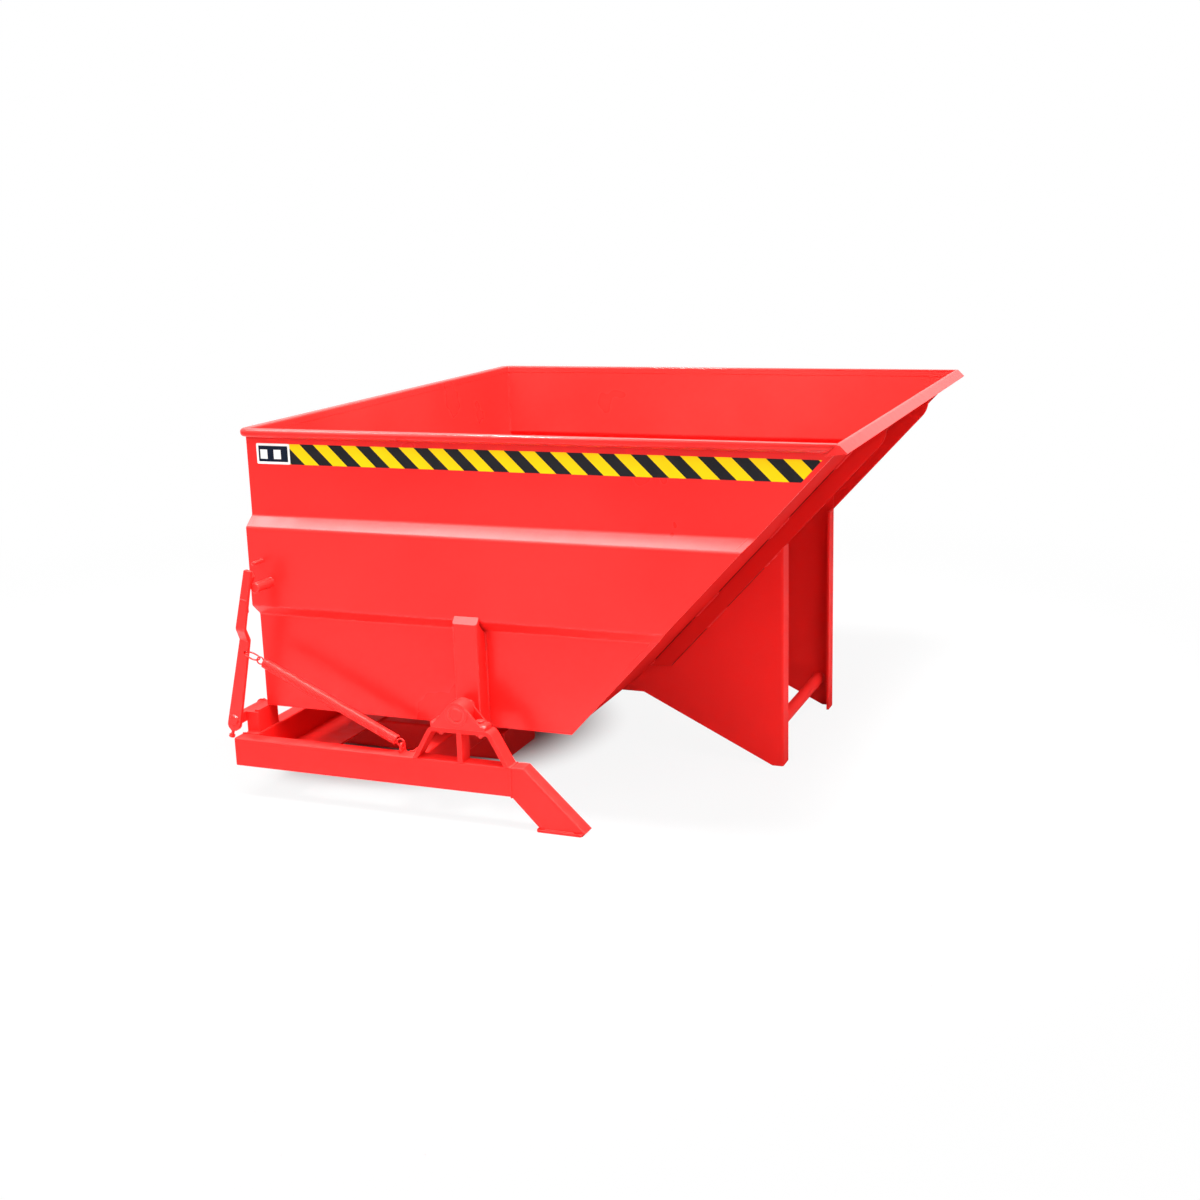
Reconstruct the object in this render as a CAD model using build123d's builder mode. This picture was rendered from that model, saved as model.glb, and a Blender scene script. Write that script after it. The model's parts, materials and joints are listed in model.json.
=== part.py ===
# Tipping hopper: a sheet steel skip on a low base frame that a forklift carries.
# The skip turns on two stub pins and pours over its chute once the latch lever is drawn back.
# Millimetres. +X points to the pouring lip, +Y to the left seen that way, +Z up.
# The ground is z = 0, and the origin lies under the middle of the overall box.
# Left pieces are modelled, and their right twins are mirrored. The latch is on the right only.

from build123d import *
import os
from math import atan2, cos, radians, sin, tan

os.makedirs("parts", exist_ok=True)

# Skip
rim_length = 1460           # rear rim to pouring lip
rim_height = 885            # top of the rim tube above ground
wall_half = 738             # mid plane to the outer face of a flat side wall
sheet = 4                   # walls, floor and chute
bend = 8                    # outer bend radius of the folds
swage = 30                  # outward step of the side wall
swage_z = (433, 460, 652, 677)
wall_bottom = 200           # lower edge of the side walls
wall_edge = 8               # the side walls stand this far past the floor and chute
wall_lap = 6                # and this far behind the rear wall, below the rim
floor_length = 822          # rear rim to the knee of the side wall
chute_angle = 47.6
rim_d = 36                  # slit tube on the upper edges
rim_wall = 3
slit_gap = 0.1
lip_angle = 45              # the lip falls away at this slope
lip_nose = 8                # outer radius of its fold

# Legs under the chute
leg_y = 263                 # mid plane of a leg plate
leg_sheet = 6
leg_reach = 1192            # rear rim to the front flange
leg_toe = 28                # flat on the ground
leg_flange = 50
tail_start = 560            # the plate runs on under the floor as a rib
tail_end = 826
tail_bottom = 164
rib_height = 40
rib_gap = 1.5               # left open between the stitch welds to the chute
rib_thick = 8
rib_sweep = 60              # radius where the rib turns up to the lip
rib_tip = 21                # behind the edge of the lip
tube_d = 32
tube_wall = 3
tube_back = 39              # cross tube behind the leg flange
tube_z = 77

# Pivot
pivot_reach = 584           # rear rim to the pivot axis
pivot_z = 260
pin_d = 34
pin_end = 850               # mid plane to the free end of a pivot pin
running_gap = 0.05
bush_wall = 4
channel_width = 62
channel_depth = 45
channel_wall = 5
channel_top = 470
channel_bottom = 212

# Base frame
frame_half = 845            # mid plane to the outer face of a rail
rail_width = 40
rail_bottom = 75
rail_top = 145
rail_wall = 4
rail_overhang = 20          # behind the rear rim
rail_end = 714              # rear rim to the front end of a rail
foot_angle = 43.5
foot_top = 147
foot_top_end = 746
foot_heel = 782
foot_tip = 8                # height of the cut on the toe
foot_plate = 6
bar_thick = 10              # bent flat bar of the pivot bracket
bar_bend = 18
bar_base_half = 122
bar_top_half = 76
bar_shift = 4               # middle of the bracket in front of the pivot
bar_top = 225
post_thick = 12
pocket_y = (241, 431)
pocket_wall = 5
pocket_end = 500            # rear rim to the stop plate
tie_end = 150               # rear rim to the front edge of the plate that ties a pocket to its rail
member_width = 40
front_member = 440          # rear rim to the front cross member
rest_y = (699, 788)         # posts under the rear corners of the side walls
rest_length = 34
pad_thick = 5
pad_width = 14              # steel strip along the front edge of a post

# Bearing housings
base_half = 71
base_thick = 12
hub_d = 56
hub_length = 46
gable_half = 60
gable_thick = 5
bolt_half = 50
bolt_d = 12
bolt_gap = 0.5
hex_across = 19
hex_height = 8

# Latch
shaft_back = 33             # behind the rear rim
shaft_z = 183
shaft_d = 18
shaft_head = 5              # thickness of the round head
nut_thick = 12
bearing_y = (699, 809)
bearing_r = 13
lever_lean = 13             # forward from upright
lever_y = 815               # middle of the lower half
lever_offset = 25           # outward crank of the upper half
lever_thick = 10
lever_width = 34
lever_tip_width = 18
lever_corner = 2
lever_crank = (211, 245)    # along the lever, from the shaft
lever_length = 391
lever_tail = 13             # from the shaft down to the middle of the rounded foot
stop_turn = 20              # the stop screw points down and back, from upright
stop_neck = 13
stop_neck_d = 8
stop_head = 5
stop_head_d = 15
link_hole = (178, 8)        # along and across the lever
hole_r = 5
catch_reach = 64            # rear rim to the catch pin
catch_z = 520
catch_d = 24
stud_reach = 46
stud_z = 572
stud_d = 10
stud_length = 36
hook_thick = 12
hook_span = (283, 328, 383)  # along the lever: foot, throat and top of the hook plate
hook_nose = 22
hook_gap = 1.5              # between the drawn-back nose and the path of the catch pin

# Spring
eye_reach = 424
eye_r = 8                   # middle of the eye to the middle of its rim
eye_rim = 5
eye_thick = 4
spring_d = 25
spring_wire = 3.5
ring_r = 9
link_wire = 4
wire_sides = 16             # facets round a bend of wire
link_length = 36
link_r = 14

# Places worked out from the sizes above
lean = radians(lever_lean)
stop_lean = radians(stop_turn)
stop_end = lever_width / 2 + stop_neck + stop_head
lever_back = shaft_back + lever_tail * sin(lean)
rear_reach = lever_back + stop_end * sin(stop_lean) + stop_head_d / 2 * cos(stop_lean)
rim_x = (rear_reach - rim_length) / 2
lip_x = rim_x + rim_length
wall_x = rim_x + (rim_d - sheet) / 2
rim_y = wall_half - sheet / 2
rim_z = rim_height - rim_d / 2
slope = radians(chute_angle)
floor_z = wall_bottom + wall_edge
knee_x = rim_x + floor_length - wall_edge * tan(slope / 2)
chute_up = (-sin(slope), 0, cos(slope))
edge_plane = Plane(origin=(rim_x + floor_length, 0, wall_bottom), z_dir=chute_up)
chute_plane = Plane(origin=(knee_x, 0, floor_z), z_dir=chute_up)
knee_plane = Plane(origin=(knee_x, 0, floor_z), z_dir=(cos(slope / 2), 0, sin(slope / 2)))
left_mitre = Plane(origin=(wall_x + sheet / 2, rim_y, rim_z), z_dir=(1, 1, 0))
right_mitre = Plane(origin=(wall_x + sheet / 2, -rim_y, rim_z), z_dir=(1, -1, 0))
pivot_x = rim_x + pivot_reach
rail_y = frame_half - rail_width
rail_mid = frame_half - rail_width / 2
bolt_places = [(pivot_x - bolt_half, rail_mid), (pivot_x + bolt_half, rail_mid)]
shaft_x = rim_x - shaft_back
paired = {}


def save(piece, name):
    """Label a finished piece and write it."""
    piece.part.label = name
    export_step(piece.part, f"parts/{name}.step")


def left(y):
    """Vertical plane at a distance to the left, facing outward."""
    return Plane(origin=(0, y, 0), x_dir=(-1, 0, 0), z_dir=(0, 1, 0))


def under_chute(along, out):
    """Point at a distance up the chute from the knee and below its underside."""
    x = knee_x + along * cos(slope) + out * sin(slope)
    return x, floor_z + along * sin(slope) - out * cos(slope)


def on_lever(along, across):
    """Point on the latch lever, measured from the shaft."""
    x = shaft_x + along * sin(lean) + across * cos(lean)
    return x, shaft_z + along * cos(lean) - across * sin(lean)


# Side wall: one sheet with an outward swage, cut off along the chute
wall_points = [
    (wall_half, wall_bottom),
    (wall_half, swage_z[0]),
    (wall_half + swage, swage_z[1]),
    (wall_half + swage, swage_z[2]),
    (wall_half, swage_z[3]),
    (wall_half, rim_z),
]
with BuildPart() as side_wall:
    with BuildSketch(Plane.YZ.offset(wall_x - wall_lap)):
        with BuildLine():
            FilletPolyline(*wall_points, radius=bend)
            offset(amount=sheet, side=Side.LEFT)
        make_face()
    extrude(amount=rim_length)
    split(bisect_by=edge_plane, keep=Keep.TOP)
    with BuildSketch(left(0)):
        with Locations((wall_lap / 2 - wall_x, rim_z)):
            Rectangle(wall_lap, rim_d + sheet)
    extrude(amount=wall_half, mode=Mode.SUBTRACT)
paired["side_wall"] = side_wall

# Section of the tub between the side walls, from which rear wall, floor and chute are cut
low_shift = sheet * tan(atan2(swage, swage_z[1] - swage_z[0]) / 2)
high_shift = sheet * tan(atan2(swage, swage_z[3] - swage_z[2]) / 2)
tub_points = [
    (wall_half - sheet, floor_z),
    (wall_half - sheet, swage_z[0] + low_shift),
    (wall_half + swage - sheet, swage_z[1] + low_shift),
    (wall_half + swage - sheet, swage_z[2] - high_shift),
    (wall_half - sheet, swage_z[3] - high_shift),
    (wall_half - sheet, rim_z),
]
with BuildSketch(Plane.YZ) as tub_section:
    with BuildLine():
        flank = FilletPolyline(*tub_points, radius=[bend + sheet, bend - sheet, bend - sheet, bend + sheet])
        Polyline(flank @ 1, (0, rim_z), (0, floor_z), flank @ 0)
    make_face()
    mirror(about=Plane.YZ)

with BuildPart() as rear_wall:
    extrude(tub_section.sketch, amount=rim_length, both=True)
    split(bisect_by=Plane.YZ.offset(wall_x), keep=Keep.TOP)
    split(bisect_by=Plane.YZ.offset(wall_x + sheet), keep=Keep.BOTTOM)
save(rear_wall, "rear_wall")

with BuildPart() as floor_plate:
    extrude(tub_section.sketch, amount=rim_length, both=True)
    split(bisect_by=Plane.YZ.offset(wall_x + sheet), keep=Keep.TOP)
    split(bisect_by=Plane.XY.offset(floor_z + sheet), keep=Keep.BOTTOM)
    split(bisect_by=knee_plane, keep=Keep.BOTTOM)
save(floor_plate, "floor_plate")

with BuildPart() as chute_plate:
    extrude(tub_section.sketch, amount=rim_length, both=True)
    split(bisect_by=chute_plane, keep=Keep.TOP)
    split(bisect_by=chute_plane.offset(sheet), keep=Keep.BOTTOM)
    split(bisect_by=knee_plane, keep=Keep.TOP)
save(chute_plate, "chute_plate")

# Rim: slit tubes over the sheet edges, mitred at the rear corners and cut off along the chute
with BuildPart() as rim_tube:
    with BuildSketch(Plane.YZ.offset(rim_x)):
        with Locations((rim_y, rim_z)):
            Circle(rim_d / 2)
            Circle(rim_d / 2 - rim_wall, mode=Mode.SUBTRACT)
        with Locations((rim_y, rim_z - rim_d / 2)):
            Rectangle(sheet + 2 * slit_gap, rim_d, mode=Mode.SUBTRACT)
    extrude(amount=rim_length)
    split(bisect_by=left_mitre, keep=Keep.TOP)
    split(bisect_by=chute_plane.offset(sheet + slit_gap), keep=Keep.TOP)
paired["rim_tube"] = rim_tube

with BuildPart() as rim_tube_rear:
    with BuildSketch(Plane.XZ):
        with Locations((wall_x + sheet / 2, rim_z)):
            Circle(rim_d / 2)
            Circle(rim_d / 2 - rim_wall, mode=Mode.SUBTRACT)
        with Locations((wall_x + sheet / 2, rim_z - rim_d / 2)):
            Rectangle(sheet + 2 * slit_gap, rim_d, mode=Mode.SUBTRACT)
    extrude(amount=wall_half + rim_d, both=True)
    split(bisect_by=left_mitre, keep=Keep.BOTTOM)
    split(bisect_by=right_mitre, keep=Keep.BOTTOM)
save(rim_tube_rear, "rim_tube_rear")

# Pouring lip: the chute's upper edge folded out and down, with a tab over the end of each rim tube
lip_slope = radians(lip_angle)
lip_rise = lip_nose * (1 / cos((slope + lip_slope) / 2) - 1)
lip_foot = under_chute((rim_z - rim_d / 2 - floor_z) / sin(slope), -sheet)
lip_peak = under_chute((rim_height + lip_rise - floor_z - sheet * cos(slope)) / sin(slope), -sheet)
lip_edge = (lip_x, lip_peak[1] - (lip_x - lip_peak[0]) * tan(lip_slope))
with BuildPart() as pouring_lip:
    with BuildSketch(Plane.XZ):
        with BuildLine():
            FilletPolyline(lip_foot, lip_peak, lip_edge, radius=lip_nose)
            offset(amount=sheet, side=Side.RIGHT)
        make_face()
    extrude(amount=rim_y + rim_d / 2, both=True)
    with BuildSketch(Plane.XY.offset(rim_z)):
        with Locations((lip_x, 0)):
            Rectangle(rim_length / 4, 2 * wall_half)
    extrude(amount=-rim_d, mode=Mode.SUBTRACT)
save(pouring_lip, "pouring_lip")

# Leg plate: folded front flange, toe on the ground, tail under the floor
leg_x = rim_x + leg_reach
leg_top = floor_z + (leg_x - knee_x) * tan(slope)
with BuildPart() as leg_plate:
    with BuildSketch(left(leg_y - leg_sheet / 2)):
        with BuildLine():
            outline = [
                (rim_x + tail_start, floor_z),
                (knee_x, floor_z),
                (leg_x, leg_top),
                (leg_x, 0),
                (leg_x - leg_toe, 0),
                (rim_x + tail_end, tail_bottom),
                (rim_x + tail_start + tail_bottom / 4, tail_bottom),
            ]
            Polyline(*[(-x, z) for x, z in outline], close=True)
        make_face()
    extrude(amount=leg_sheet)
    with BuildSketch(Plane.XY):
        with Locations((leg_x - leg_sheet / 2, leg_y + leg_sheet / 2 - leg_flange / 2)):
            Rectangle(leg_sheet, leg_flange)
    extrude(amount=leg_top - rib_height / cos(slope))
    outer_fold = leg_plate.edges().filter_by(Axis.Z).group_by(Axis.X)[-1].sort_by(Axis.Y)[-1]
    fillet(outer_fold, radius=leg_sheet * 0.9)
paired["leg_plate"] = leg_plate

# Rib on the outer face of each leg plate, running up the chute and sweeping out to the lip
rib_front = lip_x - rib_tip
rib_run = (rib_front - knee_x - rib_height * sin(slope)) / cos(slope)
rib_end = (rim_z - floor_z + rib_gap * cos(slope)) / sin(slope)
with BuildPart() as chute_rib:
    with BuildSketch(left(leg_y + leg_sheet / 2)):
        with BuildLine():
            corners = [
                under_chute(rib_height, rib_gap),
                under_chute(rib_end, rib_gap),
                (rib_front, rim_z),
                under_chute(rib_run, rib_height),
                under_chute(2 * rib_height, rib_height),
            ]
            Polyline(*[(-x, z) for x, z in corners], close=True)
        make_face()
    extrude(amount=rib_thick)
    front_edges = chute_rib.edges().filter_by(Axis.Y).sort_by(Axis.X)
    fillet(front_edges[-2:].sort_by(Axis.Z)[0], radius=rib_sweep)
paired["chute_rib"] = chute_rib

with BuildPart() as leg_cross_tube:
    with BuildSketch(Plane.XZ):
        with Locations((leg_x - tube_back, tube_z)):
            Circle(tube_d / 2)
            Circle(tube_d / 2 - tube_wall, mode=Mode.SUBTRACT)
    extrude(amount=leg_y - leg_sheet / 2, both=True)
save(leg_cross_tube, "leg_cross_tube")

# Pivot channel: U section from the floor up over the lower fold of the swage
channel_out = wall_half + channel_depth
swage_out = wall_half + swage
channel_rise = channel_out - swage_out
channel_points = [
    (wall_half, channel_bottom),
    (channel_out, channel_bottom),
    (channel_out, channel_top - channel_rise),
    (swage_out, channel_top),
    (swage_out, swage_z[1] - bend),
    (wall_half, swage_z[0] - bend),
]
hollow_points = [
    (0, 0),
    (channel_out - channel_wall, 0),
    (channel_out - channel_wall, channel_top - channel_rise - channel_wall / 2),
    (swage_out, channel_top - channel_rise + channel_wall),
    (0, channel_top - channel_rise + channel_wall),
]
with BuildPart() as pivot_channel:
    with BuildSketch(Plane.YZ.offset(pivot_x)):
        with BuildLine():
            Polyline(*channel_points, close=True)
        make_face()
    extrude(amount=channel_width / 2, both=True)
    long_folds = pivot_channel.edges().filter_by(Axis.Z).group_by(Axis.Y)[-1]
    fillet(long_folds, radius=channel_wall)
    with BuildSketch(Plane.YZ.offset(pivot_x)):
        with BuildLine():
            Polyline(*hollow_points, close=True)
        make_face()
    extrude(amount=channel_width / 2 - channel_wall, both=True, mode=Mode.SUBTRACT)
    with BuildSketch(left(wall_half)):
        with Locations((-pivot_x, pivot_z)):
            Circle(pin_d / 2 + slit_gap)
    extrude(amount=channel_depth, mode=Mode.SUBTRACT)
paired["pivot_channel"] = pivot_channel

with BuildPart() as pivot_pin:
    with BuildSketch(left(wall_half)):
        with Locations((-pivot_x, pivot_z)):
            Circle(pin_d / 2)
    extrude(amount=pin_end - wall_half)
    chamfer(pivot_pin.edges().group_by(Axis.Y)[-1], length=3)
paired["pivot_pin"] = pivot_pin

# Rail: box section closed at the rear, with the sloping foot welded on its front end
with BuildPart() as rail:
    with BuildSketch(Plane.YZ.offset(rim_x - rail_overhang)):
        with Locations((rail_mid, (rail_bottom + rail_top) / 2)):
            RectangleRounded(rail_width, rail_top - rail_bottom, rail_wall)
    extrude(amount=rail_overhang + rail_end)
    with BuildSketch(Plane.YZ.offset(rim_x - rail_overhang + rail_wall)):
        with Locations((rail_mid, (rail_bottom + rail_top) / 2)):
            Rectangle(rail_width - 2 * rail_wall, rail_top - rail_bottom - 2 * rail_wall)
    extrude(amount=rail_overhang + rail_end, mode=Mode.SUBTRACT)
paired["rail"] = rail

toe_x = foot_top_end + (foot_top - foot_tip) / tan(radians(foot_angle))
foot_points = [
    (rail_end, rail_bottom),
    (rail_end, rail_top),
    (rail_end + bar_thick, foot_top),
    (foot_top_end, foot_top),
    (toe_x, foot_tip),
    (toe_x - foot_tip, foot_plate),
    (foot_heel, foot_plate),
]
with BuildPart() as front_foot:
    with BuildSketch(left(rail_y)):
        with BuildLine():
            Polyline(*[(-rim_x - x, z) for x, z in foot_points], close=True)
        make_face()
    extrude(amount=rail_width)
    chamfer(front_foot.edges().filter_by(Axis.Y, reverse=True), length=rail_wall / 2)
paired["front_foot"] = front_foot

foot_length = toe_x - foot_heel
with BuildPart() as foot_sole:
    with BuildSketch(Plane.XY):
        with Locations((rim_x + foot_heel + foot_length / 2 - foot_tip, rail_mid)):
            Rectangle(foot_length, rail_width + 2 * rail_wall)
    extrude(amount=foot_plate)
    chamfer(foot_sole.edges().filter_by(Axis.Z), length=rail_wall)
paired["foot_plate"] = foot_sole

# Cross members between the rails, on top of the fork pockets
member_places = {"rear_cross_member": -rail_overhang, "front_cross_member": front_member}
for member_name, member_start in member_places.items():
    with BuildPart() as cross_member:
        with BuildSketch(Plane.XZ):
            with Locations((rim_x + member_start + member_width / 2, (rail_bottom + rail_top) / 2)):
                RectangleRounded(member_width, rail_top - rail_bottom, rail_wall)
                Rectangle(
                    member_width - 2 * rail_wall,
                    rail_top - rail_bottom - 2 * rail_wall,
                    mode=Mode.SUBTRACT,
                )
        extrude(amount=rail_y, both=True)
    save(cross_member, member_name)

# Fork pocket: box section open to the rear, tied to its rail, with a stop plate for the fork tips
pocket_mid = sum(pocket_y) / 2
pocket_width = pocket_y[1] - pocket_y[0]
with BuildPart() as fork_pocket:
    with BuildSketch(Plane.YZ.offset(rim_x - rail_overhang)):
        with Locations((pocket_mid, rail_bottom / 2)):
            RectangleRounded(pocket_width, rail_bottom, pocket_wall * 1.5)
            Rectangle(pocket_width - 2 * pocket_wall, rail_bottom - 2 * pocket_wall, mode=Mode.SUBTRACT)
    extrude(amount=rail_overhang + pocket_end)
    with BuildSketch(Plane.XY.offset(rail_bottom)):
        with Locations((rim_x + (rail_overhang + tie_end) / 2, (pocket_mid + rail_y) / 2)):
            Rectangle(tie_end - rail_overhang, rail_y - pocket_mid)
    extrude(amount=pocket_wall)
paired["fork_pocket"] = fork_pocket

with BuildPart() as fork_stop:
    with BuildSketch(Plane.YZ.offset(rim_x + pocket_end)):
        with Locations((pocket_mid, rail_bottom / 2)):
            Rectangle(pocket_width, rail_bottom)
    extrude(amount=pocket_wall)
    chamfer(fork_stop.edges().filter_by(Axis.X), length=pocket_wall)
paired["fork_stop"] = fork_stop

# Pivot bracket: flat bar bent to a trapezoid, with a centre post, bolted under the housing
bar_slope = (bar_base_half - bar_top_half) / (bar_top - rail_top)
bar_skirt = bar_base_half + bar_thick * bar_slope
bar_x = pivot_x + bar_shift
with BuildPart() as pivot_bracket:
    with BuildSketch(left(rail_y)):
        with BuildLine():
            FilletPolyline(
                (-bar_x - bar_skirt, rail_top - bar_thick),
                (-bar_x - bar_top_half, bar_top),
                (-bar_x + bar_top_half, bar_top),
                (-bar_x + bar_skirt, rail_top - bar_thick),
                radius=bar_bend,
            )
            offset(amount=bar_thick, side=Side.RIGHT)
        make_face()
    extrude(amount=rail_width)
    split(bisect_by=Plane.XY.offset(rail_top), keep=Keep.TOP)
    with BuildSketch(Plane.XY.offset(bar_top - bar_thick)):
        with Locations(*bolt_places):
            Circle(bolt_d / 2 + bolt_gap)
    extrude(amount=bar_thick, mode=Mode.SUBTRACT)
paired["pivot_bracket"] = pivot_bracket

with BuildPart() as bracket_post:
    with BuildSketch(Plane.XY.offset(rail_top)):
        with Locations((bar_x, rail_mid)):
            Rectangle(post_thick, rail_width)
    extrude(amount=bar_top - bar_thick - rail_top)
paired["bracket_post"] = bracket_post

# Bearing housing: cast foot and hub, with a gabled rib on each face and the bolts between them
with BuildPart() as bearing_housing:
    with BuildSketch(Plane.XY.offset(bar_top)):
        with Locations((pivot_x, rail_mid)):
            Rectangle(2 * base_half, rail_width)
    extrude(amount=base_thick)
    chamfer(bearing_housing.edges().filter_by(Axis.Z), length=bolt_d / 2)
    chamfer(bearing_housing.faces().sort_by(Axis.Z)[-1].edges(), length=base_thick / 4)
    with BuildSketch(left(rail_mid)):
        with Locations((-pivot_x, pivot_z)):
            Circle(hub_d / 2)
    extrude(amount=hub_length / 2, both=True)
    for gable_y in (rail_y, frame_half - gable_thick):
        with BuildSketch(left(gable_y)):
            with Locations((-pivot_x, pivot_z)):
                Circle(hub_d / 2)
            with Locations((-pivot_x, bar_top + base_thick / 2)):
                Rectangle(2 * gable_half, base_thick / 2)
            make_hull()
        extrude(amount=gable_thick)
    with BuildSketch(left(rail_mid)):
        with Locations((-pivot_x, pivot_z)):
            Circle(pin_d / 2 + bush_wall)
    extrude(amount=hub_length, both=True, mode=Mode.SUBTRACT)
    with BuildSketch(Plane.XY.offset(bar_top)):
        with Locations(*bolt_places):
            Circle(bolt_d / 2 + bolt_gap)
    extrude(amount=base_thick, mode=Mode.SUBTRACT)
paired["bearing_housing"] = bearing_housing

with BuildPart() as bearing_bush:
    with BuildSketch(left(rail_mid)):
        with Locations((-pivot_x, pivot_z)):
            Circle(pin_d / 2 + bush_wall - slit_gap / 2)
            Circle(pin_d / 2 + running_gap, mode=Mode.SUBTRACT)
    extrude(amount=hub_length / 2, both=True)
paired["bearing_bush"] = bearing_bush

# Bolts and nuts of both housings, each kind one group of separate solids
all_places = bolt_places + [(x, -y) for x, y in bolt_places]
bolt_end = bar_top - bar_thick - hex_height * 1.6
with BuildPart() as bearing_bolts:
    with BuildSketch(Plane.XY.offset(bolt_end)):
        with Locations(*all_places):
            Circle(bolt_d / 2)
    extrude(amount=bar_top + base_thick - bolt_end)
    with BuildSketch(Plane.XY.offset(bar_top + base_thick)):
        with Locations(*all_places):
            RegularPolygon(hex_across / 2, 6, major_radius=False)
    extrude(amount=hex_height)
save(bearing_bolts, "bearing_bolts")

with BuildPart() as bearing_nuts:
    with BuildSketch(Plane.XY.offset(bar_top - bar_thick)):
        with Locations(*all_places):
            RegularPolygon(hex_across / 2, 6, major_radius=False)
            Circle(bolt_d / 2 + slit_gap, mode=Mode.SUBTRACT)
    extrude(amount=-hex_height)
save(bearing_nuts, "bearing_nuts")

# Rests for the rear corners of the side walls, with a steel strip on top
rest_x = rim_x - rail_overhang + rest_length / 2
rest_mid = sum(rest_y) / 2
rest_width = rest_y[1] - rest_y[0]
rest_top = wall_bottom - pad_thick
with BuildPart() as rest_post:
    with BuildSketch(Plane.XY.offset(rail_top)):
        with Locations((rest_x, rest_mid)):
            Rectangle(rest_length, rest_width)
    extrude(amount=rest_top - rail_top)
    chamfer(rest_post.edges().filter_by(Axis.Z), length=2)
paired["rest_post"] = rest_post

with BuildPart() as rest_pad:
    with BuildSketch(Plane.XY.offset(rest_top)):
        with Locations((rest_x + (rest_length - pad_width) / 2, rest_mid)):
            Rectangle(pad_width, rest_width - 2 * pad_thick)
    extrude(amount=pad_thick)
    chamfer(rest_pad.edges().filter_by(Axis.Z), length=pad_thick / 2)
paired["rest_pad"] = rest_pad

# Mirror every left piece to its right twin
for pair_name, left_piece in paired.items():
    save(left_piece, f"{pair_name}_left")
    with BuildPart() as twin:
        mirror(left_piece.part, about=Plane.XZ)
    save(twin, f"{pair_name}_right")

# Catch pin and stud on the right wall
with BuildPart() as catch_pin:
    with BuildSketch(Plane.XZ.offset(swage_out)):
        with Locations((rim_x + catch_reach, catch_z)):
            Circle(catch_d / 2)
    extrude(amount=lever_y + lever_offset - lever_thick / 2 - 2 - swage_out)
    chamfer(catch_pin.edges().group_by(Axis.Y)[0], length=2)
save(catch_pin, "catch_pin")

with BuildPart() as wall_stud:
    with BuildSketch(Plane.XZ.offset(swage_out)):
        with Locations((rim_x + stud_reach, stud_z)):
            Circle(stud_d / 2)
    extrude(amount=stud_length)
    chamfer(wall_stud.edges().group_by(Axis.Y)[0], length=1.5)
save(wall_stud, "wall_stud")

# Latch bearing on the back of the right rest post, and the headed shaft that turns in it
with BuildPart() as latch_bearing:
    with BuildSketch(Plane.XZ.offset(bearing_y[0])):
        with Locations((shaft_x, shaft_z)):
            Circle(bearing_r)
        with Locations((rim_x - rail_overhang - bearing_r / 4, shaft_z)):
            Rectangle(bearing_r / 2, 2 * (rest_top - shaft_z))
        make_hull()
        with Locations((shaft_x, shaft_z)):
            Circle(shaft_d / 2 + running_gap, mode=Mode.SUBTRACT)
    extrude(amount=bearing_y[1] - bearing_y[0])
save(latch_bearing, "latch_bearing")

lever_face = lever_y + lever_thick / 2
nut_end = bearing_y[0] - 1
with BuildPart() as latch_shaft:
    with BuildSketch(Plane.XZ.offset(nut_end - nut_thick - 4)):
        with Locations((shaft_x, shaft_z)):
            Circle(shaft_d / 2)
    extrude(amount=lever_face - nut_end + nut_thick + 4)
    with BuildSketch(Plane.XZ.offset(lever_face)):
        with Locations((shaft_x, shaft_z)):
            Circle(bearing_r)
    extrude(amount=shaft_head, taper=30)
save(latch_shaft, "latch_shaft")

with BuildPart() as shaft_nut:
    with BuildSketch(Plane.XZ.offset(nut_end - nut_thick)):
        with Locations((shaft_x, shaft_z)):
            RegularPolygon(shaft_d * 0.75, 6, major_radius=False)
            Circle(shaft_d / 2 + slit_gap, mode=Mode.SUBTRACT)
    extrude(amount=nut_thick)
save(shaft_nut, "shaft_nut")

# Latch lever: flat bar cranked outward, narrowing to its upper end
lever_foot = (shaft_x, 0, shaft_z)
lever_up = (sin(lean), 0, cos(lean))
side_plane = Plane(origin=lever_foot, x_dir=lever_up, z_dir=(cos(lean), 0, -sin(lean)))
face_plane = Plane(origin=lever_foot, x_dir=lever_up, z_dir=(0, -1, 0))
with BuildPart() as latch_lever:
    with BuildSketch(side_plane):
        with BuildLine():
            FilletPolyline(
                (-lever_width, lever_y - lever_thick / 2),
                (lever_crank[0], lever_y - lever_thick / 2),
                (lever_crank[1], lever_y + lever_offset - lever_thick / 2),
                (lever_length + lever_width, lever_y + lever_offset - lever_thick / 2),
                radius=lever_thick,
            )
            offset(amount=lever_thick, side=Side.LEFT)
        make_face()
    extrude(amount=lever_width, both=True)
    with BuildSketch(face_plane):
        with Locations((-lever_tail, 0)):
            Circle(lever_width / 2)
        with Locations((lever_length - lever_tip_width / 2, 0)):
            RectangleRounded(lever_tip_width, lever_tip_width, lever_corner)
        make_hull()
        Circle(shaft_d / 2 + slit_gap, mode=Mode.SUBTRACT)
        with Locations((link_hole[0], -link_hole[1])):
            Circle(hole_r, mode=Mode.SUBTRACT)
    extrude(amount=frame_half + lever_y, mode=Mode.INTERSECT)
save(latch_lever, "latch_lever")

# Stop screw in the foot of the lever, pointing down and back
tail_x, tail_z = on_lever(-lever_tail, 0)
stop_plane = Plane(origin=(tail_x, -lever_y, tail_z), z_dir=(-sin(stop_lean), 0, -cos(stop_lean)))
with BuildPart() as stop_screw:
    with BuildSketch(stop_plane.offset(lever_width / 2)):
        Circle(stop_neck_d / 2)
    extrude(amount=stop_neck)
    with BuildSketch(stop_plane.offset(lever_width / 2 + stop_neck)):
        Circle(stop_head_d / 2)
    extrude(amount=stop_head)
save(stop_screw, "stop_screw")

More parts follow.
